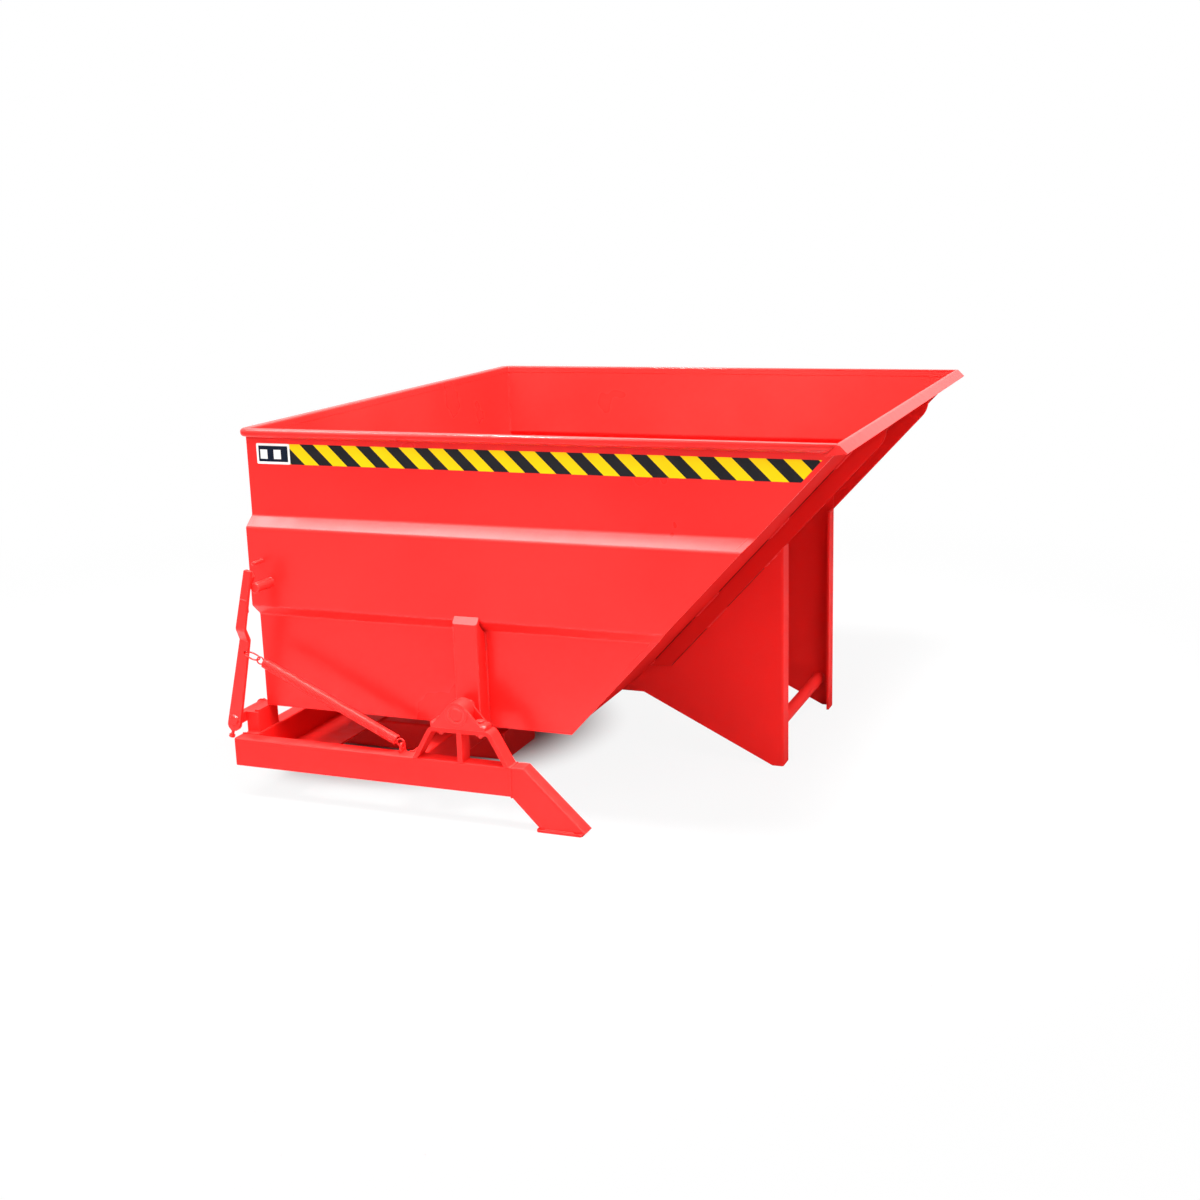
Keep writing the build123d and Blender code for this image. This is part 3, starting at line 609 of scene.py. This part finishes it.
class HOPPER_OT_folded_rim(Operator):
    """Fold the rim along both sides and the rear, and the pouring lip in front"""
    bl_idname = "hopper.folded_rim"
    bl_label = "Fold the rim and lip"
    corner_steps = 8

    def execute(self, context):
        sizes = context.scene.hopper_sizes
        enamel = bpy.data.materials["skip_enamel"]
        section = self.section(sizes)
        rings = [
            self.end_ring(section, -1),
            *self.rear_bend(sizes, section, -1),
            *reversed(self.rear_bend(sizes, section, 1)),
            self.end_ring(section, 1),
        ]
        shape = bmesh.new()
        made = [[shape.verts.new(point) for point in ring] for ring in rings]
        for first, second in zip(made, made[1:]):
            for step, face in enumerate(bridge(shape, first, second)):
                face.smooth = step % (self.corner_steps + 1) != self.corner_steps
        shape.faces.new(made[0])
        shape.faces.new(made[-1])
        self.fill_notches(shape)
        piece = shape_piece("folded_rim", shape, "hopper", [enamel])
        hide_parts("rim_tube_left", "rim_tube_right", "rim_tube_rear")
        self.fold_lip(enamel)
        return {"FINISHED"}

    def section(self, sizes):
        """Outline of the rim: distance out from the wall's middle, and height."""
        top = rim_axis + rim_radius
        low = top - sizes.rim_height
        outer_round, inner_round, edge_round = 0.008, 0.004, 0.001
        corners = (
            (sizes.rim_outside, top, -1, -1, outer_round),
            (-sizes.rim_inside, top, 1, -1, inner_round),
            (-sizes.rim_inside, low, 1, 1, edge_round),
            (sizes.rim_outside, low, -1, 1, outer_round),
        )
        points = []
        for quarter, (out, height, inward, upward, radius) in enumerate(corners):
            for step in range(self.corner_steps + 1):
                turn = pi / 2 * (quarter + step / self.corner_steps)
                points.append((out + radius * (inward + cos(turn)), height + radius * (upward + sin(turn))))
        return points

    def end_ring(self, section, side):
        """Outline of the rim where it meets the upper face of the chute."""
        places = [(chute_x(height, -sheet), wall_middle + out, height) for out, height in section]
        return [Vector((x, side * y, z)) for x, y, z in places]

    def rear_bend(self, sizes, section, side):
        """Outlines of the rim round a rear corner, with a straight stretch before and after it."""
        bend_steps, straight = 6, 0.02
        corner = Vector((rear + rim_radius + sizes.rim_bend, wall_middle - sizes.rim_bend))
        bend = []
        for step in range(bend_steps + 1):
            turn = pi / 2 * step / bend_steps
            ring = []
            for out, height in section:
                reach = sizes.rim_bend + out
                y = side * (corner.y + reach * cos(turn))
                ring.append(Vector((corner.x - reach * sin(turn), y, height)))
            bend.append(ring)
        before = [point + Vector((straight, 0, 0)) for point in bend[0]]
        after = [point - Vector((0, side * straight, 0)) for point in bend[-1]]
        return [before, *bend, after]

    def fill_notches(self, shape):
        """Close the notch of each side wall under the rim's rear corners."""
        proud = 0.0001
        low = Vector((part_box("side_wall_left")[0].x, rim_axis - rim_radius - sheet / 2))
        high = Vector((rear_inside - sheet, rim_axis))
        outline = (low, Vector((high.x, low.y)), high, Vector((low.x, high.y)))
        for side in (-1, 1):
            self.between(shape, outline, side * wall_inside, side * (wall_face + proud))

    def fold_lip(self, enamel):
        """Pouring lip: the chute's upper edge folded out and down, closed at both ends."""
        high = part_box("pouring_lip")[1]
        nose, lean, foot, tab = 0.008, radians(45), 0.0005, 0.007
        end_inset, end_gauge, end_reach = 0.0005, 0.0035, 0.9
        bend_steps = 10
        along, up = Vector((1, 0)), Vector((0, 1))
        arc = (pi / 2 + chute_slope, pi / 2 - lean)
        centre = Vector((chute_x(high.z - nose, nose - sheet), high.z - nose))
        outer = ring_line(centre, along, up, nose, bend_steps, *arc)
        inner = ring_line(centre, along, up, nose - sheet, bend_steps, *arc)
        run = (outer[-1].y - rim_axis) * Vector((1 / tan(lean), -1))
        root = rim_axis - foot
        root_outer, root_inner, tab_outer, tab_inner = [
            Vector((chute_x(height, out), height)) for height in (root, root - tab) for out in (-sheet, 0.0)]
        strip = [root_outer, *outer, outer[-1] + run, inner[-1] + run, *reversed(inner), root_inner]
        ear = (tab_outer, root_outer, root_inner, tab_inner)
        closing = (tab_inner, inner[0], inner[bend_steps // 2], inner[-1], inner[-1] + run * end_reach)
        shape = bmesh.new()
        self.between(shape, strip, -high.y, high.y)
        for side in (-1, 1):
            self.between(shape, ear, side * wall_face, side * high.y)
            end = high.y - end_inset
            self.between(shape, closing, side * (end - end_gauge), side * end)
        piece = shape_piece("folded_lip", shape, "hopper", [enamel])
        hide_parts("pouring_lip")

    def between(self, shape, outline, first, last):
        """Add a solid with one outline, from one distance across to another."""
        ends = []
        for y in (first, last):
            ends.append([shape.verts.new((point.x, y, point.y)) for point in outline])
        close_between(shape, *ends)


class HOPPER_OT_hazard_tape(Operator):
    """Stick hazard tape under the rim of both side walls, cut off along the chute"""
    bl_idname = "hopper.hazard_tape"
    bl_label = "Add hazard tape"

    def execute(self, context):
        sizes = context.scene.hopper_sizes
        material = hazard_stripes("hazard_tape")
        top = tape_top(sizes)
        low = top - sizes.tape_height
        thick, waviness, cut_back, stations = 0.0005, 0.25, 0.004, 120
        for side, name in ((-1, "hazard_tape_right"), (1, "hazard_tape_left")):
            shape = bmesh.new()
            columns = []
            for step in range(stations + 1):
                wave = waviness * sin(step * 1.7) * sin(step * 0.37)
                lift = thick * (1.0 + wave)
                column = []
                for height, out in ((low, 0.0), (low, lift), (top, lift), (top, 0.0)):
                    end = chute_x(height, 0.0) - rear - cut_back
                    x = sizes.tape_start + (end - sizes.tape_start) * step / stations
                    column.append(shape.verts.new(at(x, side * (wall_face + out), height)))
                columns.append(column)
            for first, second in zip(columns, columns[1:]):
                for part in range(3):
                    shape.faces.new((first[part], second[part], second[part + 1], first[part + 1]))
            shape.faces.new(columns[0])
            shape.faces.new(columns[-1])
            shape_piece(name, shape, "hopper", [material])
        return {"FINISHED"}


class HOPPER_OT_blank_plate(Operator):
    """Fix a blank plate with a pale border and two pale panels at the tape's rear end"""
    bl_idname = "hopper.blank_plate"
    bl_label = "Add the blank plate"

    def execute(self, context):
        sizes = context.scene.hopper_sizes
        colours = context.scene.hopper_colours
        border = plate_lacquer("plate_border", colours.plate_white)
        navy = plate_lacquer("plate_field", colours.plate_navy)
        beyond_tape = 0.0005
        half = Vector((sizes.plate_width / 2, 0, sizes.tape_height / 2 + beyond_tape))
        centre = at(sizes.plate_start + half.x, -wall_face, tape_top(sizes) - sizes.tape_height / 2)
        raised, sunk, panel_foot = 0.0009, 0.0007, 0.0006
        chamfer, step_in = 0.0003, 0.0002
        layers = ((0.0, 0.0), (0.0, sunk), (chamfer, raised), (sizes.plate_border, raised),
                  (sizes.plate_border + step_in, sunk))
        panels = ((0.115, 0.325), (0.515, 0.730))
        panel_top, panel_low = 0.30, 0.75
        shape = bmesh.new()
        rings = [self.outline(shape, centre, half, inset, lift) for inset, lift in layers]
        for low, high in zip(rings, rings[1:]):
            bridge(shape, low, high)
        field = shape.faces.new(rings[-1])
        field.material_index = 1
        for first, last in panels:
            marks = ((first, panel_low), (last, panel_low), (last, panel_top), (first, panel_top))
            faces = []
            for lift in (panel_foot, raised):
                spots = [Vector((half.x * (2 * x - 1), -lift, half.z * (1 - 2 * z))) for x, z in marks]
                faces.append([shape.verts.new(centre + spot) for spot in spots])
            close_between(shape, *faces)
        shape_piece("blank_plate", shape, "hopper", [border, navy])
        return {"FINISHED"}

    def outline(self, shape, centre, half, inset, lift):
        """Rounded rectangle at an inset from the plate's edge and a lift from the wall."""
        widest, least, corner_steps = 0.0035, 0.0012, 4
        corner = max(widest - inset * 0.5, least)
        ring = []
        for quarter, (x_side, z_side) in enumerate(((1, 1), (-1, 1), (-1, -1), (1, -1))):
            for step in range(corner_steps + 1):
                turn = pi / 2 * (quarter + step / corner_steps)
                x = x_side * (half.x - inset - corner) + corner * cos(turn)
                z = z_side * (half.z - inset - corner) + corner * sin(turn)
                ring.append(shape.verts.new(centre + Vector((x, -lift, z))))
        return ring


class HOPPER_OT_skip_welds(Operator):
    """Weld the seams of the skip, its legs, ribs, channels and pins"""
    bl_idname = "hopper.skip_welds"
    bl_label = "Weld the skip"

    def execute(self, context):
        self.weld_seams()
        self.stitch_chute()
        rings = [self.end_ring(name) for name in ("catch_pin", "wall_stud")]
        weld_piece("pin_welds", rings, "hopper", width=0.6)
        return {"FINISHED"}

    def ring_about(self, centre, radius):
        """Weld round a pin that stands across the hopper."""
        return ring_line(centre, Vector((1, 0, 0)), Vector((0, 0, 1)), radius)

    def end_ring(self, name):
        """Weld round the left end of a round node."""
        low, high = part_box(name)
        middle = (low + high) / 2
        middle.y = high.y
        return self.ring_about(middle, (high.z - low.z) / 2)

    def weld_seams(self):
        """Long seams of floor, chute, walls and channels, and the rings of pivot pins and cross tube."""
        floor_clear, rim_clear, lip_clear, fold_clear = 0.002, 0.004, 0.03, 0.006
        fold_marks = [(height - floor_under) / sin(chute_slope) for height in swage_heights]
        runs = []
        for out, start in ((0.0, floor_under), (-sheet, floor_top)):
            run = [(rear_inside, wall_inside, start)]
            for mark in (0.0, *fold_marks, chute_length - lip_clear):
                spot = on_chute(mark, out, 0.0)
                run.append((spot.x, wall_line(spot.z), spot.z))
            runs.append(run)
        heights = (floor_top + floor_clear, *swage_heights, rim_axis - rim_clear)
        runs.append([(rear_inside, wall_line(height), height) for height in heights])
        low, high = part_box("pivot_channel_left")
        for x in (low.x, high.x):
            runs.append([(x, wall_face, z) for z in (low.z, swage_heights[0] - fold_clear)])
        pin_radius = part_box("pivot_pin_left")[1].z - pivot.z
        runs.append(self.ring_about(Vector((pivot.x, high.y, pivot.z)), pin_radius))
        runs.append(self.end_ring("leg_cross_tube"))
        seams = both_sides(runs)
        seams.append([Vector((rear_inside, side * wall_inside, floor_top)) for side in (-1, 1)])
        seams.append([on_chute(0.0, -sheet, side * wall_inside) for side in (-1, 1)])
        weld_piece("skip_seam_welds", seams, "hopper")

    def stitch_chute(self):
        """Stitches of weld, and dark rods of painted shadow in the open seams between them, up the chute along
        ribs and leg plates.
        """
        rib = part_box("chute_rib_left")[1].y
        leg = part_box("leg_plate_left")[1].y
        weld_out, gap_out, leg_out, leg_gauge, gap_radius = 0.001, 0.0005, 0.040, 0.006, 0.0013
        stitches = (
            (weld_out, rib, ((0.045, 0.060), (0.228, 0.311), (0.507, 0.575), (0.743, 0.800))),
            (leg_out, leg, ((0.225, 0.295), (0.445, 0.500))),
            (weld_out, leg - leg_gauge, ((0.02, 0.09), (0.20, 0.27), (0.38, 0.45))),
        )
        gaps = (
            (gap_out, rib, ((0.066, 0.222), (0.317, 0.501), (0.581, 0.737))),
            (leg_out, leg, ((0.080, 0.219), (0.301, 0.439))),
        )
        weld_piece("rib_stitch_welds", self.up_chute(stitches), "hopper", width=1.1)
        # Thin dark rods along the open seams: painted shadow of the gaps.
        dark = round_rods("rib_seam_shadows", [even_run(gap) for gap in self.up_chute(gaps)], gap_radius)
        new_piece("rib_seam_shadows", dark, "hopper", [painted_seam_shadow("painted_seam_shadow")])

    def up_chute(self, rows):
        """Lines on both sides between pairs of marks up the chute."""
        return both_sides(
            [[on_chute(mark, out, y) for mark in pair] for out, y, pairs in rows for pair in pairs])


class HOPPER_OT_frame_welds(Operator):
    """Weld rails, feet, cross members, pockets, brackets, rests and the latch bearing"""
    bl_idname = "hopper.frame_welds"
    bl_label = "Weld the base frame"

    def execute(self, context):
        foot_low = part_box("front_foot_left")[0]
        bracket_low, bracket_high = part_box("pivot_bracket_left")
        post_low, post_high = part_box("bracket_post_left")
        rest_low, rest_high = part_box("rest_post_left")
        sole_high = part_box("foot_plate_left")[1]
        stop_low, stop_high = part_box("fork_stop_left")
        near, far, under, top = rail_low.y, rail_high.y, rail_low.z, rail_high.z
        inset, pocket_inset, flange, heel, toe = 0.003, 0.008, 0.006, 0.080, 0.020
        section = ((near, under), (near, top), (far, top), (far, under), (near, under))
        runs = [[(rail_high.x, y, z) for y, z in section]]
        for x in (bracket_low.x, bracket_high.x, post_low.x, post_high.x):
            runs.append([(x, y, top) for y in (near + inset, far - inset)])
        first, last = rest_low.x + inset, rest_high.x - inset
        low, high = rest_low.y, rest_high.y
        section = ((first, low), (last, low), (last, high), (first, high), (first, low))
        runs.append([(x, y, rest_low.z) for x, y in section])
        for y in (near, far):
            runs.append([(x, y, sole_high.z) for x in (foot_low.x + heel, sole_high.x - toe)])
        for name in ("rear_cross_member", "front_cross_member"):
            low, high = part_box(name)
            section = ((high.x, low.z + flange), (high.x, high.z), (low.x, high.z), (low.x, low.z + flange))
            runs.append([(x, high.y, z) for x, z in section])
            for x in (low.x + inset, high.x - inset):
                runs.append([(x, y, low.z) for y in (stop_low.y + pocket_inset, stop_high.y - pocket_inset)])
        weld_piece("frame_welds", both_sides(runs), "base_frame", width=0.9)
        bearing_reach, end_gap = 0.0085, 0.002
        ends = (-rest_low.y - end_gap, -rest_high.y + end_gap)
        small = []
        for z in (shaft.z - bearing_reach, shaft.z + bearing_reach):
            small.append([Vector((rest_low.x, y, z)) for y in ends])
        eye_low, eye_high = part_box("spring_eye")
        for x in (eye_low.x, eye_high.x):
            small.append([Vector((x, y, eye_low.z)) for y in (eye_low.y, eye_high.y)])
        weld_piece("latch_bracket_welds", small, "base_frame", width=0.6)
        return {"FINISHED"}


class HOPPER_OT_latch_welds(Operator):
    """Weld the hook plate to the lever and the stop screw into its foot"""
    bl_idname = "hopper.latch_welds"
    bl_label = "Weld the latch"

    def execute(self, context):
        hook_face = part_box("latch_hook")[0].y
        lever_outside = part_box("latch_lever")[0].y
        seam, half_seam = 0.318, 0.010
        hook_foot, hook_head, hook_edge, hook_back = 0.284, 0.382, -0.009, 0.006
        lines = [
            [on_lever(seam, aside, lever_outside) for aside in (-half_seam, half_seam)],
            [on_lever(along, hook_edge, hook_face) for along in (hook_foot, hook_head)],
            [on_lever(hook_foot, aside, hook_face) for aside in (hook_edge, hook_back)],
        ]
        stop_low, stop_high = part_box("stop_screw")
        screw_radius, screw_fall, ring_steps = 0.004, 0.36, 16
        root_back, root_down = 0.005, 0.001
        middle = (stop_low.y + stop_high.y) / 2
        root = Vector((stop_high.x - root_back, middle, stop_high.z - root_down))
        slant = Vector((1, 0, -screw_fall)).normalized()
        lines.append(ring_line(root, slant, Vector((0, 1, 0)), screw_radius, ring_steps))
        weld_piece("latch_welds", lines, "latch_lever", width=0.6)
        return {"FINISHED"}


class HOPPER_OT_tension_spring(Operator):
    """Wind the close-coiled tension spring with a ring at each end"""
    bl_idname = "hopper.tension_spring"
    bl_label = "Wind the spring"

    def execute(self, context):
        sizes = context.scene.hopper_sizes
        low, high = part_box("tension_spring")
        reach = sizes.spring_ring + sizes.spring_wire / 2
        middle = (low.y + high.y) / 2
        first = Vector((low.x + reach, middle, high.z - reach))
        last = Vector((high.x - reach, middle, low.z + reach))
        axis = (last - first).normalized()
        side = Vector((0, 1, 0))
        rise = side.cross(axis)
        coil = (sizes.spring_width - sizes.spring_wire) / 2
        inset = sizes.spring_ring - sizes.spring_wire / 4
        start = first + axis * inset
        length = (last - first).length - 2 * inset
        coil_gap, turn_steps, ring_steps, ring_turn = 1.03, 20, 40, radians(345)
        turns = round(length / (sizes.spring_wire * coil_gap))
        points = ring_line(first, axis, rise, sizes.spring_ring, ring_steps, ring_turn, 0.0)
        for step in range(turns * turn_steps + 1):
            gone = step / turn_steps
            spread = coil * min(1.0, gone, turns - gone)
            turn = 2 * pi * gone
            points.append(start + axis * (length * gone / turns)
                          + rise * (spread * sin(turn)) + side * (spread * cos(turn)))
        points += ring_line(last, axis, rise, sizes.spring_ring, ring_steps, pi, pi + ring_turn)
        mesh = round_rods("tension_spring_wire", [even_run(points)], sizes.spring_wire / 2, 2)
        enamel = red_enamel("spring_enamel", peel=0.00003)
        piece = new_piece("tension_spring_wire", mesh, None, [enamel])
        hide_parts("tension_spring")
        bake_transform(piece)
        self.bend_link(sizes, axis, side, enamel)
        return {"FINISHED"}

    def bend_link(self, sizes, axis, side, enamel):
        """Wire link between the lever and the first ring, bent to a long loop."""
        low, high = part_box("spring_link")
        centre = (low + high) / 2
        bend = (high.y - low.y - sizes.link_wire) / 2
        bend_steps = 48
        points = []
        for step in range(bend_steps + 1):
            turn = 2 * pi * step / bend_steps
            straight = sizes.link_straight / 2 * (1 if cos(turn) > 0 else -1)
            points.append(centre + axis * (straight + bend * cos(turn)) + side * (bend * sin(turn)))
        mesh = round_rods("spring_link_wire", [even_run(points)], sizes.link_wire / 2, 2)
        piece = new_piece("spring_link_wire", mesh, "latch_lever", [enamel])
        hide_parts("spring_link")


class HOPPER_OT_fasteners(Operator):
    """Make the housing bolts and nuts and the nut on the latch shaft"""
    bl_idname = "hopper.fasteners"
    bl_label = "Add fasteners"

    def execute(self, context):
        sizes = context.scene.hopper_sizes
        enamel = red_enamel("fastener_enamel", peel=0.00003)
        bolt_low, bolt_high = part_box("bearing_bolts")
        nut_low, nut_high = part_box("bearing_nuts")
        flange, point, thread_start, point_share, spin = 0.012, 0.0012, 0.0016, 0.7, 7
        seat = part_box("bearing_housing_left")[0].z + flange
        shank = sizes.bolt_shank / 2
        nut_steps = hexagon_steps(0.0, nut_high.z - nut_low.z, sizes.bolt_width)
        bolts = bmesh.new()
        nuts = bmesh.new()
        for y in (-rail_middle, rail_middle):
            for x in (pivot.x - sizes.bolt_spacing / 2, pivot.x + sizes.bolt_spacing / 2):
                place = Matrix.Translation((x, y, 0)) @ Matrix.Rotation(x * spin, 4, "Z")
                profile = [(bolt_low.z, shank * point_share, False), (bolt_low.z + point, shank, False)]
                profile += thread_steps(bolt_low.z + thread_start, nut_low.z, shank)
                profile += [(nut_low.z, shank, False), (seat, shank, False)]
                profile += hexagon_steps(seat, bolt_high.z - seat, sizes.bolt_width)
                turned_solid(bolts, place, profile, sizes.bolt_width)
                turned_over = Matrix.Translation((x, y, nut_high.z)) @ Matrix.Rotation(pi, 4, "X")
                turned_solid(nuts, turned_over, nut_steps, sizes.bolt_width)
        shaft_low, shaft_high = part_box("shaft_nut")
        inward = Matrix.Translation((shaft.x, shaft_low.y, shaft.z)) @ Matrix.Rotation(-pi / 2, 4, "X")
        shaft_nut = bmesh.new()
        shaft_steps = hexagon_steps(0.0, shaft_high.y - shaft_low.y, sizes.nut_width)
        turned_solid(shaft_nut, inward, shaft_steps, sizes.nut_width)
        kinds = (
            ("housing_bolts", bolts, "bearing_bolts", "base_frame"),
            ("housing_nuts", nuts, "bearing_nuts", "base_frame"),
            ("latch_shaft_nut", shaft_nut, "shaft_nut", "latch_lever"),
        )
        for name, shape, node, body in kinds:
            piece = shape_piece(name, shape, body, [enamel])
            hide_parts(node)
        return {"FINISHED"}


class HOPPER_OT_stage(Operator):
    """Set the pale floor, the lamps and the camera"""
    bl_idname = "hopper.stage"
    bl_label = "Set the stage"

    def execute(self, context):
        stage = context.scene.hopper_stage
        self.lay_floor(context, stage)
        self.light_room(context, stage)
        self.hang_lamps(context, stage)
        self.place_camera(context, stage)
        context.scene.view_settings.view_transform = "Standard"
        return {"FINISHED"}

    def seen_by(self, tone, *kinds):
        """1 for rays of these kinds, 0 for the others."""
        seen = 0.0
        for kind in kinds:
            seen = tone.math("MAXIMUM", seen, tone.node("LightPath", output=kind))
        return seen

    def lay_floor(self, context, stage):
        radius, sides = 60.0, 64
        shape = bmesh.new()
        ring = ring_line(Vector((0, 0, 0)), Vector((1, 0, 0)), Vector((0, 1, 0)), radius, sides)[:-1]
        shape.faces.new([shape.verts.new(point) for point in ring])
        mesh = bpy.data.meshes.new("studio_floor")
        shape.to_mesh(mesh)
        shape.free()
        floor = new_object("studio_floor", mesh)
        material, tone, place = new_finish("studio_floor")
        pale = tone.node("BsdfDiffuse", {"Color": tuple(context.scene.hopper_colours.floor)})
        white = tone.node("Emission", {"Color": (1, 1, 1, 1), "Strength": 1.0})
        shaded, shadow_edge, far_edge = at(0.15, -0.2, 0), (0.33, 0.58), (1.1, 3.5)
        away = place.vector("DISTANCE", shaded, "Value")
        share = away.rise(*shadow_edge) * stage.floor_glow + away.rise(*far_edge) * (1 - stage.floor_glow)
        share = share * self.seen_by(tone, "Is Camera Ray")
        mixed = tone.node("MixShader", {0: share, 1: pale, 2: white})
        tone.node("OutputMaterial", {"Surface": mixed})
        mesh.materials.append(material)

    def light_room(self, context, stage):
        world = bpy.data.worlds.new("studio_room")
        world.use_nodes = True
        world.node_tree.nodes.clear()
        tone = Tone(world.node_tree)
        even = tone.node("Background", {"Color": (1, 1, 1, 1), "Strength": stage.room_light})
        white = tone.node("Background", {"Color": (1, 1, 1, 1), "Strength": 1.0})
        seen = self.seen_by(tone, "Is Camera Ray", "Is Glossy Ray", "Is Transmission Ray")
        mixed = tone.node("MixShader", {0: seen, 1: even, 2: white})
        tone.node("OutputWorld", {"Surface": mixed})
        context.scene.world = world

    def hang_lamps(self, context, stage):
        lamps = (
            ("front_lamp", (-1.0, -4.3, 3.3), (0.0, 0.0, 0.45), (3.0, 3.0), stage.key_power),
            ("top_lamp", (-2.0, -0.9, 4.6), (-2.0, -0.9, 0.0), (2.8, 1.6), stage.top_power),
            ("lip_lamp", (2.7, -2.0, 3.9), (0.0, 0.0, 0.60), (2.0, 2.0), stage.side_power),
            ("inner_lamp", (0.8, -0.55, 3.3), (0.0, 0.1, 0.40), (1.2, 0.9), stage.inner_power),
        )
        inner_spread = radians(64)
        for name, place, target, size, power in lamps:
            lamp = bpy.data.lights.new(name, "AREA")
            lamp.shape = "RECTANGLE"
            lamp.size, lamp.size_y = size
            lamp.energy = power
            if name == "inner_lamp":
                lamp.spread = inner_spread
            holder = new_object(name, lamp)
            aim = (Vector(target) - Vector(place)).to_track_quat("-Z", "Y")
            holder.matrix_world = Matrix.Translation(place) @ aim.to_matrix().to_4x4()

    def place_camera(self, context, stage):
        lens = bpy.data.cameras.new("front_camera")
        lens.lens = stage.camera_lens
        lens.sensor_width = 36.0
        lens.shift_x, lens.shift_y = stage.camera_shift
        lens.clip_end = 200.0
        camera = new_object("front_camera", lens)
        place = Matrix.Translation(at(*stage.camera_place))
        for turn, axis in (
                (stage.camera_turn, "Z"), (pi / 2 - stage.camera_tilt, "X"), (stage.camera_roll, "Z")):
            place = place @ Matrix.Rotation(turn, 4, axis)
        camera.matrix_world = place
        context.scene.camera = camera


groups = {"hopper_sizes": HopperSizes, "hopper_colours": HopperColours, "hopper_stage": HopperStage}
steps = (
    HOPPER_OT_paint_skip,
    HOPPER_OT_paint_frame,
    HOPPER_OT_paint_latch,
    HOPPER_OT_finish_bushes,
    HOPPER_OT_folded_rim,
    HOPPER_OT_hazard_tape,
    HOPPER_OT_blank_plate,
    HOPPER_OT_skip_welds,
    HOPPER_OT_frame_welds,
    HOPPER_OT_latch_welds,
    HOPPER_OT_tension_spring,
    HOPPER_OT_fasteners,
    HOPPER_OT_stage,
)


class HOPPER_PT_sidebar(Panel):
    """Sidebar panel with the hopper's settings and steps"""
    bl_idname = "HOPPER_PT_sidebar"
    bl_label = "Tipping hopper"
    bl_space_type = "VIEW_3D"
    bl_region_type = "UI"
    bl_category = "Hopper"

    def draw(self, context):
        for group in groups:
            settings = getattr(context.scene, group)
            box = self.layout.box()
            for name in settings.__annotations__:
                box.prop(settings, name)
        for step in steps:
            self.layout.operator(step.bl_idname)


def register():
    for name, group in groups.items():
        bpy.utils.register_class(group)
        setattr(bpy.types.Scene, name, PointerProperty(type=group))
    for step in steps:
        bpy.utils.register_class(step)
    bpy.utils.register_class(HOPPER_PT_sidebar)


def unregister():
    bpy.utils.unregister_class(HOPPER_PT_sidebar)
    for step in reversed(steps):
        bpy.utils.unregister_class(step)
    for name, group in groups.items():
        delattr(bpy.types.Scene, name)
        bpy.utils.unregister_class(group)


def main():
    """Run every step in order."""
    register()
    for step in steps:
        family, action = step.bl_idname.split(".")
        getattr(getattr(bpy.ops, family), action)()


if __name__ == "__main__":
    main()
